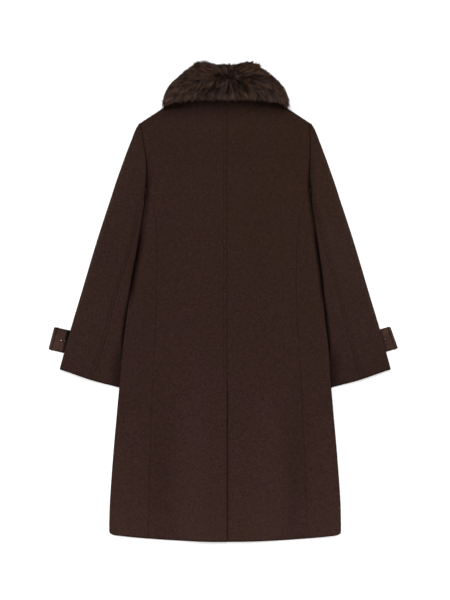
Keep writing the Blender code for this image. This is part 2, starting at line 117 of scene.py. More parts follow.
coat = {
    "axisX": 5.3,
    "backSeamX": 9.6,
    "backNeckY": 493,
    "neckPointY": 502,
    "neckHalf": 91,
    "frontNeckY": 433,
    "shoulderY": 430,
    "shoulderHalf": 203.3,
    "underarmY": 275,
    "hemY": -575.4,
    "hemCurve": 0.000215,
    "hemCorner": 4,
    "frontLap": 35,
    "ventTopY": -208,
    "ventLap": 42,
    "sideTurn": (9, 60, 280),  # how far a side goes under at the underarm and lower, and over what length it grows
    # y, then the edge's x on the left and on the right
    "edges": (
        (430, -198, 208), (389, -192.5, 209.6), (339, -184.5, 209.6), (284, -183.5, 207.6),
        (241, -187, 210.5), (202, -192.5, 216), (125, -204, 226.5), (65, -215.5, 235),
        (5, -224.8, 239.9), (-55, -233.2, 246), (-115, -240.2, 253), (-201, -247.5, 258.5),
        (-263, -253.5, 264), (-379, -263.5, 274), (-494, -271.5, 282), (-551, -273.5, 283.5),
        (-576, -273.5, 283.5),
    ),
    "princess": (
        (284, -182, 205.5), (241, -170, 195.5), (202, -162.5, 185.5), (166, -159, 180),
        (125, -157.5, 176.5), (5, -160, 176), (-115, -165, 183), (-201, -169, 188),
        (-379, -175, 196), (-576, -179, 205),
    ),
    "shoulder": ((91, 502), (126, 481), (150, 464.5), (203.3, 430)),  # distance from the axis, y
}

sleeve = {
    "tuck": 15,  # how far it lies under the body
    "tuckFromY": 217,
    "tuckFullY": 150,
    "cuffEndY": -214,
    "frontSeam": 24,
    "puff": (2.4, 0.42, 0.4),  # how high it stands between its folds, and where across it
    "seamY": 317,
    "underSeam": 9,  # the least width of the under sleeve's upper side
    "held": (6.5, 218, 58),  # how much deeper it is tucked where it crosses the body's edge, where, over how much
    # y, outer fold from the axis, height of the inner side, the back seam on the left and on the right
    "sections": (
        (426, 208, 429, 1.0, 1.0), (417, 214, 402, 1.0, 1.0), (389, 225.5, 361, 1.0, 1.0),
        (353, 239.5, 314, 1.0, 1.0), (317, 252.5, 274, 1.0, 1.0), (281, 265, 240, 0.86, 0.84),
        (245, 276.5, 202, 0.79, 0.76), (209, 288.5, 165, 0.75, 0.71), (137, 311.5, 93, 0.70, 0.66),
        (41, 340, -4, 0.625, 0.58), (-66, 371.5, -112, 0.588, 0.53), (-158, 397, -205, 0.48, 0.453),
    ),
}

skirt = {
    # x at the top and at the hem, half width, height, where it starts
    "folds": (
        (-75, -62, 62, 2.6, -150), (80, 92, 68, 2.6, -120),
        (-200, -222, 42, 1.6, -260), (215, 240, 40, 1.6, -240),
    ),
    # painted shade and light of the folds: x, half width, how dark
    "tones": (
        (-258, 34, -0.06), (-150, 58, 0.15), (-74, 44, -0.08), (104, 48, -0.09), (176, 44, 0.16), (258, 34, -0.06),
    ),
    "tonesFromY": (-130, 260),
    "paintedHemLight": curveThrough([(-60, 0.0), (-220, 0.05), (-330, 0.10), (-440, 0.16), (-500, 0.22), (-530, 0.29)]),
}

tabs = {
    "width": 55,
    "length": 60,
    "thick": 3.2,
    "fade": (22, 50),  # how far past the tab its lift stays, and over how much it goes
    # middle of the outer end, slope in degrees, how far in the prong's hole and the eyelet lie
    "left": {"x": -412, "y": -86.4, "slope": 12.8, "stud": 24, "eyelet": 32.5},
    "right": {"x": 410.8, "y": -84.6, "slope": 15.5, "stud": 20.7, "eyelet": 11},
}

axisX = coat["axisX"]
bodyEdges = dict(zip(signs, tableCurves(coat["edges"])))
princessSeams = dict(zip(signs, tableCurves(coat["princess"])))
shoulderCurve = curveThrough(coat["shoulder"])
sleeveOuter, sleeveInnerY, *seams = tableCurves(sleeve["sections"])
sleeveSeams = dict(zip(signs, seams))


def hemRise(x):
    return coat["hemCurve"] * (x - coat["backSeamX"]) ** 2


# Where a side panel meets its front, on the floor side
def frontSideSeam(side, y):
    least, most, over = coat["sideTurn"]
    turned = mix(least, most, ease((coat["underarmY"] - y) / over))
    return bodyEdges[side](y) - signs[side] * turned


lifts = {
    # the collar's front under the neck: its half sizes, its top, how high and how far out it holds the cloth up
    "collarHalfX": 160,
    "collarHalfY": 79,
    "collarY": 495,
    "collarRise": 12.3,
    "collarFade": (1.03, 1.3),
    # a sleeve under the body, and layers lapped at the middle: how far they lie out, and the fade past that
    "sleeveFade": (8, 60),
    "cuffFade": 80,
    "lapFade": (8, 60),
    "ventFade": (3, 45),
    "ventStart": (40, 36),
    "shoulderFade": 30,
}


# How far the collar's front, which lies on the floor, holds the cloth over it up
def collarLift(x, y):
    start, over = lifts["collarFade"]
    out = math.hypot((x - axisX) / lifts["collarHalfX"], min(y - lifts["collarY"], 0.0) / lifts["collarHalfY"])
    return fade(out - start, lifts["collarRise"], over)


def sleeveLift(x, y):
    side = "left" if x < axisX else "right"
    inward = abs(bodyEdges[side](y) - x)
    past, over = lifts["sleeveFade"]
    across = fade(inward - sleeve["tuck"] - past, 1, over)
    down = ease((coat["underarmY"] - y) / (coat["underarmY"] - sleeve["tuckFromY"]))
    pastCuff = ease((sleeve["cuffEndY"] - y) / lifts["cuffFade"])
    stack = 2 * cloth["wall"] + cloth["hollow"] + cloth["seam"]
    return stack * across * down * (1 - pastCuff)


def bodyFloor(x, y):
    return collarLift(x, y) + sleeveLift(x, y)


# Room between the walls, which close on each other at the shoulder
def hollow(x, y):
    below = shoulderCurve(abs(x - axisX)) - y
    return mix(cloth["seam"], cloth["hollow"], ease(below / lifts["shoulderFade"]))


def skirtFold(x, y):
    height = 0.0
    for topX, hemX, halfWidth, rise, startY in skirt["folds"]:
        down = (startY - y) / (startY - coat["hemY"])
        height += hump(x, rise * ease(down), mix(topX, hemX, down), halfWidth)
    return height


# Painted shade and light where folds would catch less or more of the light, and a painted paler hem
def skirtShade(x, y):
    start, over = skirt["tonesFromY"]
    dark = sum(hump(x, tone, centre, halfWidth) for centre, halfWidth, tone in skirt["tones"])
    return dark * ease((start - y) / over) - skirt["paintedHemLight"](y)


def frontLapLift(x):
    past, over = lifts["lapFade"]
    return fade(abs(x - axisX) - coat["frontLap"] - past, cloth["lap"], over)


def ventLift(x, y):
    past, over = lifts["ventFade"]
    above, height = lifts["ventStart"]
    across = fade(coat["backSeamX"] - x - coat["ventLap"] - past, cloth["lap"], over)
    return across * ease((coat["ventTopY"] + above - y) / height)


def backTop(x, y):
    under = bodyFloor(x, y) + cloth["wall"] + hollow(x, y) + frontLapLift(x) + skirtFold(x, y)
    return under + cloth["wall"]


def backNeck(x):
    return mix(coat["backNeckY"], coat["neckPointY"], min(abs(x - axisX) / coat["neckHalf"], 1.0) ** 2)


def frontNeck(x):
    out = (abs(x - axisX) - coat["frontLap"]) / (coat["neckHalf"] - coat["frontLap"])
    return mix(coat["frontNeckY"], coat["neckPointY"], min(max(out, 0.0), 1.0))


# Feeds a socket from another one or with a value
def feed(tree, socket, value):
    if isinstance(value, bpy.types.NodeSocket):
        tree.links.new(value, socket)
    else:
        socket.default_value = value


def addNode(tree, kind, inputs, **settings):
    node = tree.nodes.new("ShaderNode" + kind)
    for key, value in settings.items():
        setattr(node, key, value)
    for key, value in inputs.items():
        feed(tree, node.inputs[key], value)
    return node


def addMix(tree, factor, one, other, blend="MIX"):
    inputs = {0: factor, 6: one, 7: other}
    return addNode(tree, "Mix", inputs, data_type="RGBA", blend_type=blend).outputs[2]


def addProduct(tree, colour, factor):
    return addMix(tree, 1.0, colour, factor, "MULTIPLY")


def addMath(tree, operation, one, other=0.0, clamp=False):
    return addNode(tree, "Math", {0: one, 1: other}, operation=operation, use_clamp=clamp).outputs[0]


def addShade(tree):
    return addNode(tree, "Attribute", {}, attribute_name="shade").outputs["Fac"]


# Share of a colour that a shade leaves
def addKept(tree, shade, depth):
    return addMath(tree, "SUBTRACT", 1.0, addMath(tree, "MULTIPLY", shade, depth))


def addNoise(tree, vector, scale, detail=2.0, roughness=0.5, distortion=0.0):
    inputs = {"Vector": vector, "Scale": scale, "Detail": detail, "Roughness": roughness, "Distortion": distortion}
    return addNode(tree, "TexNoise", inputs).outputs["Fac"]


def addRange(tree, value, low, high, newLow=0.0, newHigh=1.0):
    return addNode(tree, "MapRange", {0: value, 1: low, 2: high, 3: newLow, 4: newHigh}).outputs[0]


# Noise, which lies mostly between 0.3 and 0.7, brought to a range
def addTone(tree, value, newLow=0.0, newHigh=1.0):
    return addRange(tree, value, 0.3, 0.7, newLow, newHigh)


def addBump(tree, height, strength, distance, invert=False):
    inputs = {"Height": height, "Strength": strength, "Distance": distance}
    return addNode(tree, "Bump", inputs, invert=invert).outputs["Normal"]


def newMaterial(name):
    made = bpy.data.materials.new(name)
    made.use_nodes = True
    return made, made.node_tree


def addPlace(tree):
    return addNode(tree, "TexCoord", {}).outputs["Object"]


def finishMaterial(made, inputs):
    for key, value in inputs.items():
        feed(made.node_tree, made.node_tree.nodes["Principled BSDF"].inputs[key], value)
    return made


wool = {
    # scale, detail, roughness and distortion of each noise
    "cloud": (7,),
    "melange": (215, 4.0, 0.72, 0.8),
    "fibre": (950, 4.0, 0.72, 1.6),
    "hair": (2100, 2.0, 0.6, 2.4),
    # warmer towards the right shoulder: from and to a place in metres, then by how much
    "warmX": (-0.12, 0.14, 0.1, 0.75),
    "warmY": (-0.10, 0.25),
    "cloudWarm": 0.6,
    "melangeLight": (0.60, 1.40),
    "fibreLight": (0.72, 1.28),
    "flecks": (0.60, 0.70, 0.0, 0.5),
    "fleck": (0.056, 0.028, 0.022, 1),
    # how far the painted shade darkens the wool
    "shade": 0.86,
    "raised": {"fibre": 0.7, "hair": 0.3},
    "rough": (0.86, 1.0),
    "nap": (0.4, 0.0006),
    "tones": {
        "bodyWool": {"Base": (0.0219, 0.0109, 0.0093, 1), "Warm": (0.0214, 0.0109, 0.0076, 1)},
        "sleeveWool": {"Base": (0.0230, 0.0116, 0.0099, 1), "Warm": (0.0227, 0.0120, 0.0088, 1)},
    },
    "shader": {
        "Specular IOR Level": 0.012,
        "Sheen Weight": 0.012,
        "Sheen Roughness": 0.45,
        "Sheen Tint": (0.62, 0.48, 0.40, 1),
    },
}


# Felted wool: fibres in two tones, soft clouds and a raised nap, darkened where the shade attribute holds painted
# shade
def makeWoolGrain():
    group = bpy.data.node_groups.new("woolGrain", "ShaderNodeTree")
    sockets = {
        "INPUT": {"Vector": "Vector", "Base": "Color", "Warm": "Color", "Fleck": "Color", "Shade": "Float"},
        "OUTPUT": {"Color": "Color", "Height": "Float", "Roughness": "Float"},
    }
    for way, kinds in sockets.items():
        for name, kind in kinds.items():
            group.interface.new_socket(name, in_out=way, socket_type="NodeSocket" + kind)
    into = group.nodes.new("NodeGroupInput").outputs
    out = group.nodes.new("NodeGroupOutput").inputs
    cloud, melange, fibre, hair = [
        addNoise(group, into["Vector"], *wool[name]) for name in ("cloud", "melange", "fibre", "hair")
    ]
    parts = addNode(group, "SeparateXYZ", {0: into["Vector"]}).outputs
    right, upper = [addRange(group, parts[i], *wool[name]) for i, name in enumerate(("warmX", "warmY"))]
    cloudWarm = addMath(group, "MULTIPLY", addTone(group, cloud), wool["cloudWarm"])
    warmth = addMath(group, "ADD", cloudWarm, addMath(group, "MULTIPLY", right, upper), clamp=True)
    colour = addMix(group, warmth, into["Base"], into["Warm"])
    light = addTone(group, melange, *wool["melangeLight"])
    fine = addTone(group, fibre, *wool["fibreLight"])
    colour = addProduct(group, colour, addMath(group, "MULTIPLY", light, fine))
    colour = addMix(group, addRange(group, hair, *wool["flecks"]), colour, into["Fleck"])
    feed(group, out["Color"], addProduct(group, colour, addKept(group, into["Shade"], wool["shade"])))
    coarse = addMath(group, "MULTIPLY", fibre, wool["raised"]["fibre"])
    thin = addMath(group, "MULTIPLY", hair, wool["raised"]["hair"])
    feed(group, out["Height"], addMath(group, "ADD", coarse, thin))
    feed(group, out["Roughness"], addTone(group, melange, *wool["rough"]))
    return group


def makeWool(name, grain):
    made, tree = newMaterial(name)
    place = addPlace(tree)
    inputs = {"Vector": place, "Shade": addShade(tree), "Fleck": wool["fleck"], **wool["tones"][name]}
    felt = addNode(tree, "Group", inputs, node_tree=grain).outputs
    normal = addBump(tree, felt["Height"], *wool["nap"])
    looks = {"Base Color": felt["Color"], "Roughness": felt["Roughness"], "Normal": normal}
    return finishMaterial(made, {**looks, **wool["shader"]})


# Plain finishes: a noise, and how far it turns the tone and the roughness
grained = {
    "lining": {
        "colour": (0.030, 0.016, 0.012, 1), "noise": (1600,), "tone": (0.8, 1.2), "rough": (0.38, 0.5),
        "stretch": (1.0, 0.08, 1.0),
    },
    "metal": {
        "colour": (0.52, 0.45, 0.38, 1), "noise": (900, 3.0, 0.6), "tone": (0.75, 1.1), "rough": (0.22, 0.42),
        "shader": {"Metallic": 1.0},
    },
    "bronze": {
        "colour": (0.085, 0.048, 0.034, 1), "noise": (900, 3.0, 0.6), "tone": (0.75, 1.1), "rough": (0.22, 0.42),
        "shader": {"Metallic": 1.0},
    },
    "thread": {
        "colour": (0.0115, 0.0056, 0.0044, 1), "noise": (2600,), "tone": (0.8, 1.15), "rough": (0.7, 0.7),
        "shader": {"Specular IOR Level": 0.02},
    },
    "floor": {
        "colour": (1, 1, 1, 1), "noise": (3,), "tone": (0.9, 0.92), "rough": (0.9, 0.9),
        "shader": {"Emission Color": (1, 1, 1, 1), "Emission Strength": 0.12},
    },
}


def makeGrained(name, looks):
    made, tree = newMaterial(name)
    place = addPlace(tree)
    if "stretch" in looks:
        place = addNode(tree, "Mapping", {"Vector": place, "Scale": looks["stretch"]}).outputs["Vector"]
    grain = addNoise(tree, place, *looks["noise"])
    colour = addProduct(tree, looks["colour"], addTone(tree, grain, *looks["tone"]))
    rough = addTone(tree, grain, *looks["rough"])
    return finishMaterial(made, {"Base Color": colour, "Roughness": rough, **looks.get("shader", {})})


hide = {
    "dark": (0.034, 0.0165, 0.0125, 1),
    "light": (0.052, 0.0270, 0.0195, 1),
    "pebble": 620,
    "cloud": (75, 3.0, 0.6),
    "crease": (0.0, 0.75, 1.12, 0.72),
    # how far the painted shade darkens the leather
    "shade": 0.9,
    "rough": (0.55, 0.42),
    "specular": 0.035,
    "grain": (0.35, 0.0005),
}


def makeLeather():
    made, tree = newMaterial("leather")
    place = addPlace(tree)
    pebble = addNode(tree, "TexVoronoi", {"Vector": place, "Scale": hide["pebble"]}).outputs["Distance"]
    cloud = addTone(tree, addNoise(tree, place, *hide["cloud"]))
    creased = addRange(tree, pebble, *hide["crease"])
    colour = addProduct(tree, addMix(tree, cloud, hide["dark"], hide["light"]), creased)
    return finishMaterial(made, {
        "Base Color": addProduct(tree, colour, addKept(tree, addShade(tree), hide["shade"])),
        "Roughness": addRange(tree, cloud, 0.0, 1.0, *hide["rough"]),
        "Specular IOR Level": hide["specular"],
        "Normal": addBump(tree, pebble, *hide["grain"], invert=True),
    })


furTones = {
    "root": (0.0040, 0.0020, 0.0012, 1),
    # mauve, neutral, warm and dark
    "tips": ((0.0424, 0.0252, 0.0213), (0.0400, 0.0234, 0.0174), (0.0440, 0.0222, 0.0118), (0.0090, 0.0047, 0.0031)),
    "turn": (0.05, 0.75, 0.12, 1.0),  # from where to where on a strand, and how far, the root's colour turns
    "light": (0.03, 2.6),
    "rough": (0.75, 0.5),
    "specular": 0.02,
}


# A strand's u holds one of the four tips and its tone, and v runs from root to tip
def makeFur():
    made, tree = newMaterial("fur")
    strand = addNode(tree, "UVMap", {}, uv_map="OFBake").outputs["UV"]
    u, v = addNode(tree, "SeparateXYZ", {0: strand}).outputs[:2]
    tone = addMath(tree, "FRACT", addMath(tree, "MULTIPLY", u, 4.0))
    tips = addNode(tree, "ValToRGB", {0: u})
    elements = tips.color_ramp.elements
    tips.color_ramp.interpolation = "CONSTANT"
    elements[1].position = 0.25
    for i, tip in enumerate(furTones["tips"]):
        element = elements[i] if i < 2 else elements.new(i / 4)
        element.color = (*tip, 1)
    colour = addMix(tree, addRange(tree, v, *furTones["turn"]), furTones["root"], tips.outputs[0])
    return finishMaterial(made, {
        "Base Color": addProduct(tree, colour, addRange(tree, tone, 0.0, 1.0, *furTones["light"])),
        "Roughness": addRange(tree, v, 0.0, 1.0, *furTones["rough"]),
        "Specular IOR Level": furTones["specular"],
    })


underfur = {
    "dark": (0.003, 0.0015, 0.001, 1),
    "light": (0.010, 0.005, 0.003, 1),
    "fuzz": (700, 4.0, 0.7, 2.0),
    "turn": (0.35, 0.65),
    "bump": (0.8, 0.001),
}


def makePelt():
    made, tree = newMaterial("pelt")
    fuzz = addNoise(tree, addPlace(tree), *underfur["fuzz"])
    return finishMaterial(made, {
        "Base Color": addMix(tree, addRange(tree, fuzz, *underfur["turn"]), underfur["dark"], underfur["light"]),
        "Roughness": 0.9,
        "Specular IOR Level": 0.02,
        "Normal": addBump(tree, fuzz, *underfur["bump"]),
    })


woolGrain = makeWoolGrain()
finishes = {name: makeWool(name, woolGrain) for name in wool["tones"]}
finishes.update({name: makeGrained(name, looks) for name, looks in grained.items()})
finishes.update({"leather": makeLeather(), "fur": makeFur(), "pelt": makePelt()})
print("materials made")


studio = {
    "cameraHeight": 4.5,
    "film": 36,
    "clipEnd": 30,
    "floor": (4, -0.0003),  # half its size, and how far down it lies, in metres
    "aim": (4.8, 5.4, 8),
    "spanY": 1440,  # what the frame's height takes in
    "world": 1.0,
    "sun": 2.0,
    "sunTilt": (-38, -14),  # about x and y, in degrees
    "sunAngle": 55,
}


def buildStudio():
    scene = bpy.context.scene
    lens = bpy.data.cameras.new("camera")
    lens.sensor_fit = "VERTICAL"
    lens.sensor_height = studio["film"]
    lens.lens = studio["film"] * studio["cameraHeight"] / (studio["spanY"] * mm)
    lens.clip_end = studio["clipEnd"]
    eye = bpy.data.objects.new("camera", lens)
    x, y, z = studio["aim"]
    eye.location = (x * mm, y * mm, z * mm + studio["cameraHeight"])
    scene.collection.objects.link(eye)
    scene.camera = eye

    world = bpy.data.worlds.new("studio")
    world.use_nodes = True
    back = world.node_tree.nodes["Background"]
    back.inputs["Color"].default_value = (1, 1, 1, 1)
    back.inputs["Strength"].default_value = studio["world"]
    scene.world = world

    lamp = bpy.data.lights.new("key", "SUN")
    lamp.energy = studio["sun"]
    lamp.angle = math.radians(studio["sunAngle"])
    key = bpy.data.objects.new("key", lamp)
    key.rotation_euler = [math.radians(angle) for angle in (*studio["sunTilt"], 0)]
    scene.collection.objects.link(key)

    shape = bmesh.new()
    half, down = studio["floor"]
    bmesh.ops.create_grid(shape, x_segments=1, y_segments=1, size=half)
    bmesh.ops.translate(shape, verts=shape.verts, vec=(0, 0, down))
    mesh = bpy.data.meshes.new("floor")
    shape.to_mesh(mesh)
    shape.free()
    mesh.materials.append(finishes["floor"])
    ground = bpy.data.objects.new("floor", mesh)
    scene.collection.objects.link(ground)
    scene.view_settings.view_transform = "Standard"
    scene.view_settings.look = "None"


buildStudio()
print("studio ready")


def finishPiece(name, shape, materials, nodes=()):
    mesh = bpy.data.meshes.new(name)
    shape.to_mesh(mesh)
    shape.free()
    for material in materials:
        mesh.materials.append(finishes[material])
    mesh.shade_smooth()
    piece = bpy.data.objects.new(name, mesh)
    bpy.context.scene.collection.objects.link(piece)
    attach(piece, "root")
    if nodes:
        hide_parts(*nodes)
    return piece


# A grid moved onto rows of points, each with its shade
def gridShape(rows, unit=mm):
    shape = bmesh.new()
    bmesh.ops.create_grid(shape, x_segments=len(rows[0]) - 1, y_segments=len(rows) - 1, size=1)
    shades = shape.verts.layers.float.new("shade")
    for vert, (point, shade) in zip(shape.verts, [cell for row in rows for cell in row]):
        vert.co = Vector(point) * unit
        vert[shades] = shade
    return shape


# Turns a shape's faces over where the one at the given place looks the wrong way
def faceWay(shape, index, way):
    shape.normal_update()
    shape.faces.ensure_lookup_table()
    if shape.faces[index].normal.z * way < 0:
        bmesh.ops.reverse_faces(shape, faces=shape.faces)


def addWall(piece, thickness, inner=1):
    wall = piece.modifiers.new("wall", "SOLIDIFY")
    wall.thickness = thickness * mm
    wall.offset = -1
    wall.material_offset = inner
    wall.use_rim = True


# A sheet of cloth drawn on a grid: rows of points in millimetres, each with its shade
def clothSheet(name, rows, outside, node, facing=1, drop=None, presses=()):
    shape = gridShape(rows)
    if drop:
        gone = [face for face in shape.faces if drop(face.calc_center_median() / mm)]
        bmesh.ops.delete(shape, geom=gone, context="FACES")
    for press in presses:
        pressLine(shape, **press)
    columns = len(rows[0]) - 1
    faceWay(shape, len(shape.faces) // 2 // columns * columns, facing)
    pieces[name] = finishPiece(name, shape, [outside, "lining"], [node])
    addWall(pieces[name], cloth["shell"])
    edge = pieces[name].modifiers.new("edge", "BEVEL")
    edge.width = cloth["bevel"] * mm
    edge.segments = 2
    edge.limit_method = "ANGLE"
    edge.angle_limit = math.radians(50)


# How far a place lies from a line between two places, and how far along it
def fromLine(place, start, end):
    start, end = Vector(start), Vector(end)
    span = end - start
    t = min(max((place - start).dot(span) / span.length_squared, 0.0), 1.0)
    return (place - start - span * t).length, t


# A dart or stitched line pressed into a sheet, which gets finer cells there first, with painted shade along its
# trough
def pressLine(shape, start, end, halfWidth, depth, shade):
    shades = shape.verts.layers.float["shade"]
    for _ in range(2):
        faces = []
        for face in shape.faces:
            if fromLine(face.calc_center_median().xy / mm, start, end)[0] < halfWidth + 5:
                faces.append(face)
        edges = {edge for face in faces for edge in face.edges}
        bmesh.ops.subdivide_edges(shape, edges=list(edges), cuts=1, use_grid_fill=True)
    for vert in shape.verts:
        away, t = fromLine(vert.co.xy / mm, start, end)
        if away < halfWidth:
            amount = bump(away / halfWidth) * ease(min(1.0, (1 - t) * 3 + 0.15))
            vert.co.z -= depth * mm * amount
            vert[shades] = max(vert[shades], shade * amount)


# Heights of the last rows of cells above a hem, and distances at which cells lie closer by an edge
hemSteps = (6.5, 4.5, 2.8, 1.3, 0)
closeBy = (0, 1.2, 2.5, 4.0, 6.6, 8.0, 9.4, 11.2)


# Distances from a seam across a span
def acrossSpan(span, count):
    scale = min(1.0, span * 0.6 / closeBy[-1])
    close = [distance * scale for distance in closeBy]
    return close + steps(close[-1], span, count)[1:-1]


# Press of a seam's edge: the roll into the seam, then the allowance under the cloth
def seamPress(away, depth=0.7, width=2.2):
    return hump(away, *cloth["allowance"]) - fade(away, depth, width)


# Height of the faint uneven swell of laid cloth
def swell(x, y, seed):
    size = cloth["swell"]
    broad = noise.noise(Vector((x / size, y / (size * 1.5), seed)))
    return broad + 0.5 * noise.noise(Vector((x / size * 2.3, y / size * 1.7, seed + 9)))


# Soft troughs and ridges, listed: start, end, half width, height
creases = {
    "backLeft": (
        ((-176, 262), (-120, 318), 22, -0.9), ((-168, 230), (-95, 250), 20, -0.6),
        ((-150, 60), (-60, 20), 30, 0.5), ((-40, 200), (-30, 60), 40, 0.4),
        ((-120, -300), (-132, -560), 36, -0.8), ((-20, -330), (-24, -560), 26, 0.7),
    ),
    "backRight": (
        ((196, 262), (140, 322), 22, -0.8), ((190, 226), (110, 240), 20, -0.6),
        ((168, 40), (80, 64), 32, 0.5), ((50, 180), (44, 40), 40, 0.4),
        ((150, -280), (166, -560), 36, -0.8), ((34, -350), (36, -560), 26, 0.6),
    ),
    "sleeveLeft": (
        ((-232, 330), (-205, 262), 16, -0.7), ((-262, 190), (-222, 150), 20, -0.6),
        ((-316, 60), (-262, 84), 22, 0.5), ((-350, -60), (-300, -30), 22, -0.5),
    ),
    "sleeveRight": (
        ((246, 326), (222, 256), 16, -0.7), ((282, 170), (238, 142), 20, -0.6),
        ((330, 40), (272, 74), 22, 0.5), ((366, -70), (312, -44), 22, -0.5),
    ),
}


def creaseHeight(name, x, y):
    height = 0.0
    for start, end, halfWidth, rise in creases[name]:
        away, t = fromLine(Vector((x, y)), start, end)
        if away < halfWidth:
            height += rise * bump(away / halfWidth) * ease(min(1.0, 0.3 + 2.4 * min(t, 1 - t)))
    return height


# Painted shadow that the sleeve's edge throws on the body above its crossing, and the body on the sleeve below it
crossing = {
    "bodyWidth": {"left": 14, "right": 9},
    "wider": {"left": 0.6, "right": 1.3},
    # soft painted shade on the sleeve by the armhole: how dark, how wide, then where it starts and ends
    "beside": {"left": (0.14, 8), "right": (0.40, 16)},
    "besideY": (385, 70, 120, 90),
    # painted shade by the cuff's inner corner
    "corner": (-80, 55, 0.54, 38),  # by the cuff's inner corner: from y, over how much, how dark, how wide
    # y, how dark the body's painted shadow is, how wide and how dark the sleeve's core is, how wide its soft part
    "rows": (
        (366, 0.0, 2.0, 0.0, 1), (330, 0.30, 2.0, 0.0, 1), (300, 0.66, 2.4, 0.5, 2), (276, 0.90, 2.8, 0.96, 2),
        (258, 0.94, 2.8, 1.0, 2), (246, 0.80, 1.8, 0.9, 2),
        (180, 0.72, 1.5, 0.8, 2), (150, 1.08, 2.6, 1.0, 1.8), (30, 1.08, 2.6, 1.0, 1.8), (0, 0.45, 2.2, 1.0, 6),
        (-30, 0.0, 2.6, 1.0, 9), (-100, 0.0, 2.6, 1.0, 9), (-116, 0.0, 1.6, 0.9, 7), (-143, 0.0, 0.6, 0.5, 5),
        (-165, 0.0, 0.2, 0.0, 4),
    ),
}
crossingCurves = tableCurves(crossing["rows"])

# Painted shade along an armhole seam: y, how dark, how wide
armSeam = (
    (430, 0.62, 3.4), (400, 0.66, 3.4), (372, 0.74, 3.6), (350, 0.88, 4.0), (328, 1.02, 4.6), (300, 1.1, 5.2),
    (270, 1.1, 5.2),
)
armDark, armWide = tableCurves(armSeam)


def armShade(away, y):
    return fade(away, armDark(y), armWide(y))


def bodyShadow(side, x, y):
    inside = max((bodyEdges[side](y) - x) * signs[side], 0.0)
    return max(crossingCurves[0](y), 0.0) * max(1 - inside / crossing["bodyWidth"][side], 0.0)


def sleeveShadow(side, x, y):
    outside = (x - bodyEdges[side](y)) * signs[side]
    if outside < -5:
        return 0.0
    core, dark, soft = [curve(y) for curve in crossingCurves[1:]]
    past = min(max((outside - core - crossing["wider"][side]) / max(soft, 1.0), 0.0), 1.0)
    fromY, over, strength, reach = crossing["corner"]
    corner = ease((fromY - y) / over) * fade(outside, strength, reach)
    startY, starts, endY, ends = crossing["besideY"]
    beside = ease((startY - y) / starts) * ease((y - endY) / ends) * fade(outside, *crossing["beside"][side])
    return max(max(dark, 0.0) * (1 - past) ** 1.3, corner, beside)


# Painted shade: a dark line just above a turned edge
def hemShadeLine(fromHem):
    return hump(fromHem, *cloth["hemShadeLine"])


# The allowance turned up inside a hem or cuff shows as a faint press
def hemPress(fromHem, depth, at=34):
    return hump(fromHem, depth, at, 7)


def seamRows(count):
    ys = steps(coat["underarmY"] - 0.7, coat["hemY"] + 9, count)
    return ys + [coat["hemY"] + up for up in hemSteps]


# Points down the outer side of a back or front, each with its place on the neck's fade
def outerSide(side, seam, panel):
    sign = signs[side]
    endHalf = abs(bodyEdges[side](coat["shoulderY"]) - axisX)
    points = []
    for t in steps(0, 1, 16):
        x = axisX + sign * mix(coat["neckHalf"], endHalf, t)
        y = shoulderCurve(mix(coat["neckHalf"], coat["shoulderHalf"], t))
        points.append((x, y, 5 * t, "shoulder"))
    for t in steps(0, 1, panel["armRows"])[1:]:
        y = mix(coat["shoulderY"], coat["underarmY"] + 0.6, t)
        points.append((bodyEdges[side](y), y, 5 + 6 * t, "arm"))
    for y in seamRows(panel["rows"]):
        points.append((seam(side, y) + sign * cloth["meet"], y, 12, "seam"))
    return points


# Plan of a panel between its outer side and a line near the middle: x, y, and how far each point lies from
# the middle line, the outer side and the hem
def panelPlan(side, seam, middleX, neck, panel):
    sign = signs[side]
    topY = neck(middleX)
    levelX = middleX + sign * panel["levelAt"]
    near = [*closeBy, *steps(closeBy[-1], panel["levelAt"], panel["near"])[1:]]
    outer = outerSide(side, seam, panel)
    rows = []
    for i, (x, y, neckFade, part) in enumerate(outer):
        level = ease((coat["neckPointY"] - y) / (coat["neckPointY"] - coat["underarmY"]))
        middleY = y - (coat["neckPointY"] - topY) * (1 - level)
        one, other = outer[max(i - 1, 0)], outer[min(i + 1, len(outer) - 1)]
        run = Vector((other[0] - one[0], other[1] - one[1])).normalized()
        slant = max(abs(run.y), 0.35)
        span = abs(x - levelX)
        scale = min(1 / slant, span * 0.7 / closeBy[-1])
        row = [middleX + sign * distance for distance in near]
        last = span - closeBy[-1] * scale
        row += [levelX + sign * out for out in steps(0, last, panel["columns"])[1:]]
        row += [x - sign * distance * scale for distance in reversed(closeBy[:-1])]
        dip = fade(neckFade, 1, 8)
        cells = []
        for column, atX in enumerate(row):
            out = max((atX - levelX) / (x - levelX), 0.0)
            neckX = mix(levelX, axisX + sign * coat["neckHalf"], out) if column >= len(near) else atX
            dipped = neck(neckX) - mix(topY, coat["neckPointY"], out)
            atY = mix(middleY, y, out) + dip * dipped
            turned = ease((coat["underarmY"] - atY) / (coat["underarmY"] - coat["hemY"]))
            cells.append((
                atX, atY + hemRise(atX) * turned, abs(atX - middleX), abs(x - atX) * slant, y - coat["hemY"], part,
            ))
        rows.append(cells)
    return rows


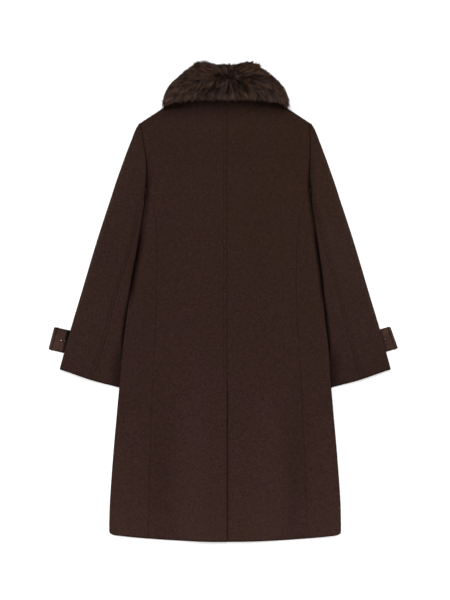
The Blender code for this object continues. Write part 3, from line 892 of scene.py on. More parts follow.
back = {
    "columns": 17,
    "rows": 148,
    "armRows": 28,
    "near": 9,
    "levelAt": 63,  # columns up to this far from the middle seam keep their distance
    "underCells": (6, 12, 18, 24, 30, 35, 39, coat["ventLap"]),
    "topstitch": 8.0,
    "trough": 1.4,  # half width of the press along it, then how deep and how dark
    "troughDeep": 0.3,
    # painted shade in the topstitch's trough
    "troughDark": 0.20,
    # painted light on the ridge
    "ridgeLight": (0.20, 4.4, 2.4),  # lighter between it and the seam
    # depth or strength, then width
    "shoulderRoll": (2.2, 6.0),
    "hemRoll": (1.9, 5.5),
    "ventRoll": (1.7, 4.0),
    # painted shadow of the lapped left panel on the right one, and painted shade in the princess seams
    "ventShadow": (0.74, 4.6),
    "princess": (0.56, 1.7),
    # painted shade in the middle seam
    "seamDark": {"left": (0.85, 0.8), "right": (0.5, 0.0)},  # above the vent and along it
    "seamWide": 1.9,
    "darts": {
        "left": {"start": (-57.6, 476), "end": (-65.5, 447), "halfWidth": 3.0, "depth": 0.75, "shade": 0.34},
        "right": {"start": (91.0, 474), "end": (96.5, 445), "halfWidth": 3.0, "depth": 0.75, "shade": 0.28},
    },
}
collarCorner = 150  # from the middle, where the collar's lower corners lie
# Painted shadow that the collar throws on the back, by y
collarShade = curveThrough([(425, 0.0), (440, 0.10), (452, 0.24), (461, 0.38), (466, 0.47), (471, 0.60), (478, 0.70)])


# Height of a back's cloth at a place, and how dark its painted shade is: in its seams and crevices, in the painted
# shadows of the sleeve and the collar, and on the skirt's folds
def backPoint(side, cell, lift):
    x, y, fromMiddle, fromOuter, fromHem, part = cell
    z = lift(x, y) + creaseHeight("back" + side.title(), x, y) + 0.35 * swell(x, y, 3.0)
    below = ease((coat["ventTopY"] + 4 - y) / 8)
    shade = fade(fromMiddle, mix(*back["seamDark"][side], below), back["seamWide"])
    if side == "left":
        sewn = hump(fromMiddle, 1 - below, back["topstitch"], back["trough"])
        z += mix(seamPress(fromMiddle), -fade(fromMiddle, *back["ventRoll"]), below) - back["troughDeep"] * sewn
        shade += back["troughDark"] * sewn - hump(fromMiddle, *back["ridgeLight"])
    else:
        z += mix(seamPress(fromMiddle), 0.0, below)
        if x >= coat["backSeamX"] - 1:
            shade = max(shade, below * fade(x - coat["backSeamX"], *back["ventShadow"]))
    if part == "shoulder":
        z -= fade(fromOuter, *back["shoulderRoll"])
    elif part == "arm":
        z += seamPress(fromOuter, 1.0)
        shade = max(shade, armShade(fromOuter, y), bodyShadow(side, x, y))
    else:
        z += seamPress(fromOuter, 0.45)
        shade = max(shade, fade(fromOuter, *back["princess"]))
    z -= fade(fromHem, *back["hemRoll"]) + hemPress(fromHem, 0.35)
    # painted shadow below the collar, which runs higher at its corners
    flat = min(abs(x - axisX) / collarCorner, 1.0)
    shade = max(shade, collarShade(y + 9 * flat ** 5) * (1 - 0.55 * flat ** 8))
    return (x, y, z), shade + skirtShade(x, y) + hemShadeLine(fromHem)


def underVent(centre):
    return centre.x < coat["backSeamX"] and centre.y > coat["ventTopY"]


def makeBacks():
    for side, sign in signs.items():
        middleX = coat["backSeamX"] - sign * cloth["meet"]
        plan = panelPlan(side, lambda s, y: princessSeams[s](y), middleX, backNeck, back)
        lift, drop = (lambda x, y: backTop(x, y) + ventLift(x, y)), None
        if side == "right":
            lift, drop = backTop, underVent
            for row in plan:
                x, y, fromMiddle, *others = row[0]
                for distance in back["underCells"]:
                    row.insert(0, (coat["backSeamX"] - distance, y, 30.0, *others))
        rows = [[backPoint(side, cell, lift) for cell in row] for row in plan]
        clothSheet("back" + side.title(), rows, "bodyWool", "back_" + side, 1, drop, [back["darts"][side]])


front = {
    "columns": 11,
    "rows": 84,
    "armRows": 16,
    "near": 6,
    "levelAt": 70,
    "edgeRoll": (0.6, 3),
    "hemRoll": (0.6, 4),
    # painted shade along the side seam
    "sideShade": (0.5, 1.5),
    "lapFade": (6, 30),
}


def makeFronts():
    for side, sign in signs.items():
        rows = []
        for cells in panelPlan(side, frontSideSeam, axisX - sign * coat["frontLap"], frontNeck, front):
            row = []
            for x, y, fromMiddle, fromOuter, fromHem, part in cells:
                z = bodyFloor(x, y)
                if side == "left":
                    past, over = front["lapFade"]
                    z += fade(axisX - coat["frontLap"] - past - x, cloth["lap"], over)
                z += fade(fromMiddle, *front["edgeRoll"]) + fade(fromHem, *front["hemRoll"])
                row.append(((x, y, z), fade(fromOuter, *front["sideShade"])))
            rows.append(row)
        clothSheet("front" + side.title(), rows, "bodyWool", "front_" + side, -1)


# Half turn round the folded edge of a flat tube, from its top to its underside
def foldTurn(edge, out, floor, room, count=9):
    radius = cloth["wall"] + room / 2
    centre = edge - out * radius
    middle = Vector((centre.x, centre.y, floor + radius))
    turn = []
    for angle in steps(90, -90, count):
        ray = out * math.cos(math.radians(angle)) + Vector((0, 0, math.sin(math.radians(angle))))
        turn.append(middle + ray * radius)
    return turn, centre


# princess is the painted shade along the princess seam: how dark, how wide
sidePanel = {"rows": 146, "top": 12, "under": 8, "hemRoll": (1.5, 5.5), "hemIn": (0.9, 5.5), "princess": (0.50, 1.7)}


def makeSides():
    for side, sign in signs.items():
        out = Vector((sign, 0, 0))
        rows = []
        for y in [coat["underarmY"], *seamRows(sidePanel["rows"])[1:]]:
            edge = Vector((bodyEdges[side](y), y, 0))
            room = hollow(edge.x, y) + skirtFold(edge.x, y)
            turn, centre = foldTurn(edge, out, bodyFloor(edge.x, y), room)
            startX = princessSeams[side](y) - sign * cloth["meet"]
            span = abs(centre.x - startX)
            fromHem = y - coat["hemY"]
            tucked = -fade(fromHem, *sidePanel["hemRoll"]) - hemPress(fromHem, 0.3)
            row = []
            for offset in acrossSpan(span, sidePanel["top"]):
                x = startX + sign * offset
                z = backTop(x, y) + seamPress(offset, 0.45) + tucked
                z += 0.3 * swell(x, y, 3.0) * ease((span - offset) / 15)
                shade = max(fade(offset, *sidePanel["princess"]), bodyShadow(side, x, y))
                row.append((Vector((x, y, z)), shade + skirtShade(x, y) + hemShadeLine(fromHem)))
            for point in turn:
                shade = bodyShadow(side, point.x, y) + skirtShade(point.x, y)
                sunk = 0.5 * tucked if point.z > turn[-1].z + 1 else 0
                row.append((point + Vector((0, 0, sunk)) - out * fade(fromHem, *sidePanel["hemIn"]), shade))
            endX = frontSideSeam(side, y) - sign * cloth["meet"]
            row += [(Vector((x, y, bodyFloor(x, y))), 0.0) for x in steps(centre.x, endX, sidePanel["under"])[1:]]
            down = ease((coat["underarmY"] - y) / (coat["underarmY"] - coat["hemY"]))
            for point, shade in row:
                point.y += (hemRise(point.x) + fade(abs(edge.x - point.x), coat["hemCorner"], 12)) * down
            rows.append(row)
        clothSheet("side" + side.title(), rows, "bodyWool", "side_" + side)


def tabLift(side, x, y):
    tab = tabs[side]
    slope = math.radians(tab["slope"])
    inward = Vector((-signs[side] * math.cos(slope), -math.sin(slope)))
    offset = Vector((x - tab["x"], y - tab["y"]))
    alongTab = offset.dot(inward)
    acrossTab = abs(offset.dot(Vector((-inward.y, inward.x))))
    past = math.hypot(max(alongTab - tabs["length"], 0.0), max(acrossTab - tabs["width"] / 2, 0.0))
    start, over = tabs["fade"]
    return fade(past - start, tabs["thick"] + cloth["seam"], over)


# One section of a sleeve: its two folded edges and where the back seam lies between them
def sleeveSection(side, y):
    sign = signs[side]
    outer = Vector((axisX + sign * sleeveOuter(y), y, 0))
    innerY = sleeveInnerY(y)
    tuck = sleeve["tuck"] * ease((sleeve["tuckFromY"] - innerY) / (sleeve["tuckFromY"] - sleeve["tuckFullY"]))
    held = cloth["meet"] + hump(innerY, *sleeve["held"])
    inner = Vector((bodyEdges[side](innerY) - sign * (tuck + held), innerY, 0))
    return outer, inner, sleeveSeams[side](y)


sleeveSkin = {
    "headRows": 20,
    "armRows": 80,
    # columns on the top and the underside of the upper and of the under sleeve
    "columns": {"upper": (16, 12), "under": (14, 4)},
    "drawnIn": (1.5, 26, 60),  # beside the body: how far down, how wide, and over how much of its height it grows
    "topstitch": 7.4,
    # painted shade in the topstitch's trough, then painted light on the ridge beside it
    "trough": (0.26, 1.6),  # how dark and half how wide
    "ridgeLight": (0.12, 3.8, 2.4),
    "cuffRoll": (1.7, 5.0),
    # painted shade along the back seam, and a painted highlight along the outer fold
    "seam": (0.62, 1.9),
    "rim": (0.24, 7),
    "rimY": (-90, 80, 410, 60),  # where it starts and ends, each with the length over which it does
    # how dark, y, half height
    "tones": {"left": ((0.06, 110, 130),), "right": ((-0.07, 110, 130), (0.10, -170, 90))},
    "sag": (3.2, 4.6, 2.7),  # at the outer and the inner side, and how much more between them
    "sagFrom": 120,
    "sagOut": 0.28,
}


def makeSleeves():
    for side, sign in signs.items():

        def floor(point):
            return collarLift(point.x, point.y) + tabLift(side, point.x, point.y)

        def room(point, t):
            return hollow(point.x, point.y) + hump(t, *sleeve["puff"])

        # painted highlight for the fold's sheen: a paler, warmer strip along the outer fold
        def rimLight(fromFold, y):
            lowY, starts, highY, ends = sleeveSkin["rimY"]
            return fade(fromFold - 4, *sleeveSkin["rim"]) * ease((y - lowY) / starts) * ease((highY - y) / ends)

        def topAt(point, t, width, fromSeam, fromCuff, strength, sewn):
            x, y = point.x, point.y
            z = floor(point) + 2 * cloth["wall"] + room(point, t) + creaseHeight("sleeve" + side.title(), x, y)
            z += 0.35 * swell(x, y, 17.0) * ease(t * width / 14) + seamPress(fromSeam, strength)
            depth, reach, over = sleeveSkin["drawnIn"]
            z -= fade(abs(bodyEdges[side](y) - x) - 4, depth, reach) * ease((coat["underarmY"] + 20 - y) / over)
            z -= fade(fromCuff, *sleeveSkin["cuffRoll"]) + hemPress(fromCuff, 0.3, 36)
            # painted shade in the seam and its topstitch, painted light on the ridge between, painted shadows by the
            # body's edge, and the painted highlight of the fold
            if strength < 0.9:
                dark, half = sleeveSkin["trough"]
                stitched = hump(fromSeam, dark, sleeveSkin["topstitch"], half) - hump(fromSeam, *sleeveSkin["ridgeLight"])
                shade = fade(fromSeam, *sleeveSkin["seam"]) + sewn * stitched
            else:
                shade = armShade(fromSeam, y)
            shade = max(shade, sleeveShadow(side, x, y))
            shade += sum(hump(y, *tone) for tone in sleeveSkin["tones"][side])
            return Vector((x, y, z)), min(shade - rimLight(t * width, y) + hemShadeLine(fromCuff), 1.0)

        # the cuff's edge sags between its two sides
        def hang(row, outer, inner, fromCuff):
            across = inner - outer
            lower = ease(1 - fromCuff / sleeveSkin["sagFrom"])
            atOuter, atInner, between = sleeveSkin["sag"]
            for point, shade in row:
                t = (point.xy - outer.xy).dot(across.xy) / across.length_squared
                drop = lower * (mix(atOuter, atInner, t) + between * bump(2 * t - 1))
                point.y -= drop
                point.x += sign * sleeveSkin["sagOut"] * drop * (1 - t)

        cuffY = sleeve["sections"][-1][0]
        seamY = sleeve["seamY"]
        ys = steps(sleeve["sections"][0][0], seamY, sleeveSkin["headRows"])
        ys += [seamY - cloth["seam"], *steps(seamY - 3, cuffY + 9, sleeveSkin["armRows"])]
        ys += [cuffY + up for up in hemSteps]
        grids = {"upper": [], "under": []}
        for y in ys:
            outer, inner, seam = sleeveSection(side, y)
            width = (inner - outer).length
            across = (inner - outer) / width
            onHead = y >= seamY
            frontAt = 1.0 if onHead else 1 - sleeve["frontSeam"] / width
            backAt = 1.0 if onHead else min(seam, 1 - sleeve["underSeam"] / width)
            fromCuff = (y - cuffY) * 1.03
            strength = 1.0 if onHead else 0.45 * ease((300 - y) / 60)
            # from the back seam round a fold to the front seam: way is -1 round the outer fold
            for part, fold, way, rise in (("upper", outer, -1, 1), ("under", inner, 1, 2)):
                if onHead and part == "under":
                    continue
                above, below = sleeveSkin["columns"][part]
                turn, centre = foldTurn(fold, across * way, floor(fold), room(fold, max(way, 0)))
                start = backAt - way * cloth["meet"] / width
                end = (centre - outer).length / width
                row = []
                for offset in acrossSpan((end - start) * way * width, above):
                    t = start + way * offset / width
                    row.append(topAt(outer.lerp(inner, t), t, width, offset, fromCuff, strength, way < 0))
                sunk, shade = 1.3, 0.0
                # the upper sleeve's outer fold carries the painted highlight
                if part == "upper":
                    depth, reach = sleeveSkin["cuffRoll"]
                    sunk, shade = fade(fromCuff, depth / 2, reach), -rimLight(0, y)
                for point in turn:
                    row.append((point - Vector((0, 0, sunk if point.z > turn[-1].z + rise else 0)), shade))
                for t in steps(end, frontAt - way * cloth["meet"] / width, below)[1:]:
                    point = outer.lerp(inner, t)
                    row.append((Vector((point.x, point.y, floor(point))), 0.0))
                if part == "under" and not grids[part]:
                    row = [(point + Vector((0, 2 * cloth["meet"], -0.4)), shade) for point, shade in row]
                hang(row, outer, inner, fromCuff)
                grids[part].append(row)
        # a row that closes the sleeve's head, with painted shade
        first = grids["upper"][0]
        middleZ = sum(point.z for point, shade in first) / len(first)
        shut = [(Vector((point.x, point.y + 1.2, mix(middleZ, point.z, 0.15))), 0.3) for point, shade in first]
        grids["upper"].insert(0, shut)
        for part, rows in grids.items():
            clothSheet("sleeve" + part.title() + side.title(), rows, "sleeveWool", "sleeve_" + part + "_" + side)


pieces = {}
makeBacks()
makeSides()
makeSleeves()
makeFronts()
print("cloth laid:", len(pieces), "pieces")


collar = {
    "topHalf": 79,
    "edgeHalf": 156,
    "flare": 2.2,
    "rollY": 563.5,
    "backEdgeY": 488,
    "sideEdgeY": 468,
    "frontEdgeY": 424,
    "frontDrop": 50,
    "hollow": 10.4,
    "frontFur": 12,
    "backFur": 15,
    "sideFur": 14,
    "lump": 6,
    "lumpX": 60,
    "lumpWidth": 34,
    "gap": 3,
    "pelt": 4.5,  # thickness of the hide with its dense underfur
    "short": 9,  # how far the hide stops before the ends of the hair
    "standWall": 2.4,
}


# Height of the collar's two rounded top corners at a distance from its middle
def lumpAt(across):
    return sum(hump(across, collar["lump"], side * collar["lumpX"], collar["lumpWidth"]) for side in (-1, 1))


def rollY(place):
    flat, frontPart = place[0], place[3]
    lump = lumpAt(flat * collar["topHalf"])
    return collar["rollY"] + lump * (1 - frontPart) - collar["frontDrop"] * (1 - flat ** 2) * frontPart


def edgeY(place):
    nearCentre = 1 - place[0] ** 2
    behind = mix(collar["sideEdgeY"], collar["backEdgeY"], nearCentre)
    before = mix(collar["sideEdgeY"], collar["frontEdgeY"], math.sqrt(nearCentre))
    return mix(behind, before, place[3])


def collarHalf(down):
    return mix(collar["topHalf"], collar["edgeHalf"], 1 - (1 - min(max(down, 0.0), 1.0)) ** collar["flare"])


def furDepth(place):
    flatDepth = collar["frontFur"] if place[2] < 0 else collar["backFur"]
    return mix(flatDepth, collar["sideFur"], abs(place[1]))


def ringPoint(place, half, y, depth):
    flat, outX, outZ, frontPart = place
    radius = collar["hollow"] / 2
    flatX = flat * (half - radius)
    if frontPart == 1.0 and abs(flatX) < collar["gap"]:
        flatX = math.copysign(collar["gap"], flat if flat else outX)
    centreZ = collar["frontFur"] + collar["hollow"] / 2
    return Vector((axisX + flatX + outX * (radius + depth), y, centreZ + outZ * (radius + depth)))


def turnPlace(side, turn):
    return side, side * math.cos(turn), math.sin(turn), 0.5 - 0.5 * math.sin(turn)


# Places round the flattened ring of the collar: how far out along x, the way out, and how much is front
def ringPlaces(frontCount, turnCount, backCount):
    places = [(-t if t else -1e-6, 0.0, -1.0, 1.0) for t in steps(0, 1, frontCount)[:-1]]
    places += [turnPlace(-1.0, math.radians(angle)) for angle in steps(-90, 90, turnCount)]
    places += [(t, 0.0, 1.0, 0.0) for t in steps(-1, 1, backCount)[1:-1]]
    places += [turnPlace(1.0, math.radians(angle)) for angle in steps(90, -90, turnCount)]
    places += [(t if t else 1e-6, 0.0, -1.0, 1.0) for t in steps(1, 0, frontCount)[1:]]
    return places


def peltHalf(place, down):
    return collarHalf(down) - furDepth(place)


def peltY(place, down):
    cap = collar["pelt"] / 2
    return mix(rollY(place), edgeY(place) + collar["short"] + cap, down)


def makePeltPiece():
    cap = collar["pelt"] / 2
    loops = []
    for place in ringPlaces(10, 8, 36):
        # down the inner face, round the top, down the outer face, round the lower edge
        spots = [(down, peltY(place, down), 0) for down in (1.0, 0.75, 0.5, 0.25, 0.0)]
        for turn in (math.radians(angle) for angle in (-50, 0, 50)):
            spots.append((0.0, rollY(place) + cap * math.cos(turn), cap * (1 + math.sin(turn))))
        spots += [(down, peltY(place, down), collar["pelt"]) for down in steps(0, 1, 16)]
        for turn in (math.radians(angle) for angle in (50, 0, -50)):
            spots.append((1.0, peltY(place, 1.0) - cap * math.cos(turn), cap * (1 + math.sin(turn))))
        loop = [(ringPoint(place, peltHalf(place, down), y, depth), 0.0) for down, y, depth in spots]
        loops.append([*loop, loop[0]])
    shape = gridShape(loops)
    bmesh.ops.remove_doubles(shape, verts=shape.verts, dist=0.00001)
    bmesh.ops.holes_fill(shape, edges=[edge for edge in shape.edges if edge.is_boundary], sides=0)
    bmesh.ops.recalc_face_normals(shape, faces=shape.faces)
    pieces["collarPelt"] = finishPiece("collarPelt", shape, ["pelt"], ["collar_fur"])


def makeStand():
    rows = []
    for up in steps(0, 1, 14):
        row = []
        for place in ringPlaces(8, 8, 30):
            half = mix(coat["neckHalf"], collar["topHalf"] - furDepth(place) - cloth["seam"], up)
            point = ringPoint(place, half, 0, -cloth["seam"])
            seamY = mix(backNeck(point.x), frontNeck(point.x), place[3])
            clear = mix(2, 5, abs(place[1])) * cloth["seam"]
            point.y = mix(seamY + clear, rollY(place), up)
            row.append((point, 0.0))
        rows.append(row)
    shape = gridShape(rows)
    faceWay(shape, (len(rows[0]) - 1) // 2, 1)
    pieces["collarStand"] = finishPiece("collarStand", shape, ["bodyWool", "lining"], ["collar_stand"])
    addWall(pieces["collarStand"], collar["standWall"])


makePeltPiece()
makeStand()
print("collar built")


hair = {
    "whorl": (13.0, 538.0),
    "fanBelow": 2.9,  # how much faster hair turns down than out below the whorl
    "fanAbove": 1.25,
    "wave": 0.34,
    "waveSize": 20.0,
    "length": 32.0,
    # how many strands, and the seed of their draws
    "counts": {"Left": (36000, 11), "Right": (36000, 12), "Under": (9000, 29), "Fringe": (13000, 37)},
    "top": 45.0,
    "capShare": 0.07,  # of the roots, on the collar's top edge
    "fringeFrom": 0.93,
    "nearWhorl": (0.55, 45),  # how short at the whorl, and how far that reaches
    "rootDeep": (0.35, 0.85),  # how high in the hide the fringe and the other hair stand
    "tufts": (6.5, 5.0),  # how ragged the outline is, and how wide its tufts
    "trims": 14,
    "shortest": 6,
    # darker hair at the parting: partly its dark underfur, partly painted shade of the pit
    "darkSpot": (31.0, 527.0, 38.0, 19.0),
    # how much lighter: the low part, the lobe at the top right, the ends, the dark spot and the clouds
    "light": (0.06, -0.02, 0.06, -0.36, 0.22),
    # which tip, up to which draw it is picked, and how the dark spot, the low part and the lobe move that
    "picks": ((3, 0.10, 0.25, -0.06, 0), (0, 0.42, 0, 0.40, -0.34), (1, 0.80, 0, 0, -0.6)),
    "lastPick": 2,
    # the outline of the tips: how far over the top, its lower edge, and in and out at the sides
    "overTop": 4.0,
    "bottomY": 482,
    "trim": {"left": (9.0, 0.0), "right": (3.0, 7.0)},
    # dark hair of the lower edge, its darkness painted shade under the collar's edge: its length, tone and width
    "fringeLength": (32, 46),
    "fringeShadeTone": (0.20, 0.34),
    "fringeWidth": 0.75,
    "fringe": 19.0,  # how far the dark hair of the lower edge passes the light tips
    # share of the hairs, how long, how wide, size of a clump, how far it closes at the root and at the tip,
    # lift at both in degrees, and tones from its darkest to its lightest clump
    "kinds": {
        "short": (0.20, 0.60, 0.60, 3.6, 0.0, 0.4, 40, 8, 0.0, 0.22),
        "middle": (0.44, 0.85, 0.42, 3.2, 0.3, 0.85, 34, 1, 0.0, 0.62),
        "lock": (0.36, 1.0, 0.36, 3.3, 0.58, 0.92, 44, 8, -0.02, 1.12),
    },
}


# Which way hair is combed at a place of the back, as an angle in the plane of the coat
def combing(x, y, frontPart):
    dx = x - hair["whorl"][0]
    dy = y - hair["whorl"][1]
    fan = hair["fanBelow"] if dy < 0 else hair["fanAbove"]
    wave = hair["wave"] * noise.noise(Vector((x / hair["waveSize"], y / hair["waveSize"] * 1.2, 5.0)))
    angle = math.atan2(dy * fan, dx) + wave
    if frontPart > 0:
        down = math.atan2(-1.0, 0.35 * (1 if dx > 0 else -1))
        angle = mix(angle, down, ease(frontPart * 1.4)) if angle < 0 else mix(angle, down, ease(frontPart * 1.8))
    return angle


# Region of the collar: how light the hair is there, and which of the four tips is likely
def region(x, y, roll):
    dx, dy, halfX, halfY = hair["darkSpot"]
    pit = bump(math.hypot((x - dx) / halfX, (y - dy) / halfY))
    low = ease((522 - y) / 24)
    lobe = ease((y - 540) / 18) * ease((x - 8) / 34)
    ends = ease((abs(x - axisX) - 70) / 50)
    cloudy = noise.noise(Vector((x / 12, y / 8, 31.0)))
    light = sum(share * part for share, part in zip(hair["light"], (low, lobe, ends, pit, cloudy)))
    roll += 0.22 * noise.noise(Vector((x / 34, y / 24, 77.0)))
    for tip, upTo, byPit, byLow, byLobe in hair["picks"]:
        if roll < upTo + byPit * pit + byLow * low + byLobe * lobe:
            return light, low, tip
    return light, low, hair["lastPick"]


# How far a tip lies outside the collar's outline, in millimetres; below 0 is inside
def pastOutline(tip):
    across = tip.x - axisX
    flat = min(abs(across) / collarCorner, 1.0)
    top = collar["rollY"] + lumpAt(across) + hair["overTop"]
    bottom = mix(collar["sideEdgeY"], hair["bottomY"], 1 - flat ** 5)
    down = (collar["rollY"] - tip.y) / (collar["rollY"] - bottom)
    inset, outset = hair["trim"]["left" if across < 0 else "right"]
    half = collarHalf(down) - inset * ease((collar["rollY"] - 4 - tip.y) / 18)
    if tip.y > collar["rollY"]:
        half = collar["topHalf"] + 2 + outset - 0.9 * (tip.y - collar["rollY"])
    ragged, size = hair["tufts"]
    tufts = ragged * noise.noise(Vector((tip.x / size, tip.y / size, 8.0)))
    return max(abs(across) - half, tip.y - top, bottom - tip.y) + tufts


def growStrand(place, down, cap, arc, picker, clumps, where):
    outX, outZ, frontPart = place[1:]
    outward = Vector((outX, 0, outZ))
    fringe = where == "Fringe"
    if cap > 0:
        turn = cap * math.pi / 2
        y = rollY(place) + collar["pelt"] / 2 * math.sin(turn)
        depth = collar["pelt"] * (0.5 + 0.5 * math.cos(turn))
        root = ringPoint(place, peltHalf(place, 0.0), y, depth)
        normal = outward * math.cos(turn) + Vector((0, math.sin(turn), 0))
    else:
        depth = collar["pelt"] * hair["rootDeep"][0 if fringe else 1]
        root = ringPoint(place, peltHalf(place, down), peltY(place, down), depth)
        slope = 0.5 * ease((down - 0.86) / 0.14)
        normal = (outward - Vector((0, slope, 0))).normalized()
    tangent = Vector((outZ, 0, -outX))
    upward = Vector((0, 1, 0)) - normal * normal.y
    upward = upward.normalized() if upward.length > 0.2 else -outward

    pick = picker.random()
    kind = "middle"
    if fringe or where == "Under" or pick > 1 - hair["kinds"]["short"][0]:
        kind = "short"
    elif pick < hair["kinds"]["lock"][0]:
        kind = "lock"
    longness, width, size, grip, pull, rootLift, tipLift, dark, light = hair["kinds"][kind][1:]

    # hair of one clump shares its place, tone and a little of its direction
    row = math.floor(root.y / size)
    cell = (kind, math.floor(arc / size + 0.5 * (row % 2)), row, round(frontPart))
    if cell not in clumps:
        clumps[cell] = (
            picker.uniform(0.1, 0.9), picker.uniform(0.1, 0.9), picker.gauss(0, 0.17), picker.uniform(0.78, 1.18),
            picker.random(), picker.uniform(-9, 9), min(picker.expovariate(0.5) - 1.6, 5.0), picker.random(),
        )
    inX, inY, bent, longer, toned, lifted, tuft, tinted = clumps[cell]
    toX = (cell[1] - 0.5 * (row % 2) + inX) * size - arc
    toY = (row + inY) * size - root.y

    x, y = root.x, root.y
    whorlAway = math.hypot(x - hair["whorl"][0], (y - hair["whorl"][1]) * 1.4)
    least, reach = hair["nearWhorl"]
    length = hair["length"] * longness * mix(least, 1.0, ease(whorlAway / reach)) * longer
    length *= picker.uniform(0.85, 1.12)
    if cap > 0:
        length *= 0.6
    lighter, low, tip = region(x, y, tinted + picker.gauss(0, 0.06))
    tone = mix(dark + 0.22 * low, light - 0.12 * low, toned ** 1.5) + lighter
    spread = 0.08 + fade(whorlAway, 1.2, 9)
    turned = bent * mix(2.0, 1.0, ease(whorlAway / 30)) + picker.gauss(0, spread)
    # the fringe's dark tone is painted shade under the collar's lower edge
    if fringe:
        length = picker.uniform(*hair["fringeLength"])
        tip = 3
        tone = hair["fringeShadeTone"][0] + hair["fringeShadeTone"][1] * toned
        rootLift, tipLift, width = 4, 0, hair["fringeWidth"]
        turned = 0.5 * bent + picker.gauss(0, 0.10)
    rootLift = math.radians(rootLift + lifted * 0.6 + picker.gauss(0, 4))
    tipLift = math.radians(tipLift + lifted * 0.5 + picker.gauss(0, 3))
    sway = picker.gauss(0, 0.05)
    gather = tangent * toX + upward * toY

    # each part of a strand is combed as the fur is where it lies
    offsets = [Vector()]
    for i in range(3):
        at = root + offsets[-1] * length
        angle = combing(at.x, at.y, frontPart) if not fringe else -math.pi / 2 + 0.3 * (x - axisX) / 140
        angle += turned
        along = tangent * math.cos(angle) + upward * math.sin(angle)
        across = normal.cross(along).normalized()
        theta = mix(rootLift, tipLift, (i + 0.5) / 3)
        step = along * math.cos(theta) + normal * math.sin(theta) + across * sway * (i - 0.6)
        offsets.append(offsets[-1] + step / 3)
    allowed = tuft
    if fringe:
        allowed = 0.4 * tuft + hair["fringe"] * (1 - 0.6 * min(abs(x - axisX) / collarCorner, 1.0) ** 6)
    for _ in range(hair["trims"]):
        over = pastOutline(root + offsets[3] * length + gather * pull) - allowed
        if over <= 0 or length < hair["shortest"]:
            break
        length -= max(over * 0.8, 0.8)
    points = [root + offsets[i] * length + gather * mix(grip, pull, i / 3) for i in range(4)]
    for point in points:
        point.z = min(max(point.z, 0.5), hair["top"])
    roll = picker.gauss(0, 0.4)
    side = (across * math.cos(roll) + normal * math.sin(roll)).normalized()
    tone = min(max(tone + picker.gauss(0, 0.08), 0.02), 0.98)
    return points, side, width * picker.uniform(0.8, 1.2), (tip + 0.04 + 0.92 * tone) / 4


# Root of one strand, spread evenly over the part of the ring that where names
def pickRoot(picker, where):
    while True:
        down = picker.uniform(-hair["capShare"], 1.0)
        cap = 0.0
        if down < 0:
            cap = -down / hair["capShare"]
            down = 0.0
        wide = collarHalf(down) - collar["backFur"]
        turnLength = math.pi * (collar["hollow"] / 2 + collar["pelt"])
        full = collar["edgeHalf"] - collar["backFur"] + turnLength
        s = picker.uniform(0, full)
        if s > wide + turnLength:
            continue
        sign = {"Left": -1, "Right": 1}.get(where) or picker.choice((-1, 1))
        if where == "Under":
            t = picker.uniform(0.04, 1.0)
            return (sign * t, 0.0, -1.0, 1.0), down, cap, sign * (t * wide)
        if where == "Fringe":
            down, cap = picker.uniform(hair["fringeFrom"], 1.0), 0.0
        if s <= wide:
            t = s / wide
            return (sign * t, 0.0, 1.0, 0.0), down, cap, sign * s
        angle = math.pi / 2 - (s - wide) / turnLength * math.pi
        return turnPlace(sign, angle), down, cap, sign * s


def makeHair(where, count, seed):
    picker = random.Random(seed)
    clumps = {}
    shape = bmesh.new()
    bmesh.ops.create_grid(shape, x_segments=1, y_segments=3, size=1)
    shape.verts.ensure_lookup_table()
    bmesh.ops.pointmerge(shape, verts=list(shape.verts)[-2:], merge_co=(0, 1, 0))
    while len(shape.faces) < 3 * count:
        strands = min(count - len(shape.faces) // 3, len(shape.faces) // 3)
        verts = list(shape.verts)[: 7 * strands]
        faces = list(shape.faces)[: 3 * strands]
        edges = list({edge for face in faces for edge in face.edges})
        bmesh.ops.duplicate(shape, geom=[*verts, *edges, *faces])
    pieces["collarHair" + where] = finishPiece("collarHair" + where, shape, ["fur"])
    mesh = pieces["collarHair" + where].data
    spots = []
    places = []
    for _ in range(count):
        place, down, cap, arc = pickRoot(picker, where)
        points, side, width, u = growStrand(place, down, cap, arc, picker, clumps, where)
        for i, share in enumerate((0.5, 0.46, 0.3)):
            for way in (-1, 1):
                spots += [*((points[i] + side * (way * width * share)) * mm)]
                places.append((u + 0.002 * way, i / 3))
        spots += [*(points[3] * mm)]
        places.append((u, 1.0))
    mesh.vertices.foreach_set("co", spots)
    layer = mesh.uv_layers.new(name="OFBake")
    corners = [0] * len(mesh.loops)
    mesh.loops.foreach_get("vertex_index", corners)
    layer.uv.foreach_set("vector", [value for corner in corners for value in places[corner]])
    mesh.update()


for where, (count, seed) in hair["counts"].items():
    makeHair(where, count, seed)
print("hair grown")


# Puts a shape worked out on a tab's own axes, in millimetres from the middle of its outer end, in its place
def setOnTab(shape, side):
    tab = tabs[side]
    turn = math.radians(tab["slope"])
    heading = -turn if side == "left" else math.pi + turn
    spot = Matrix.Translation(Vector((tab["x"], tab["y"], 0)) * mm) @ Matrix.Rotation(heading, 4, "Z")
    bmesh.ops.transform(shape, matrix=spot @ Matrix.Scale(mm, 4), verts=shape.verts)


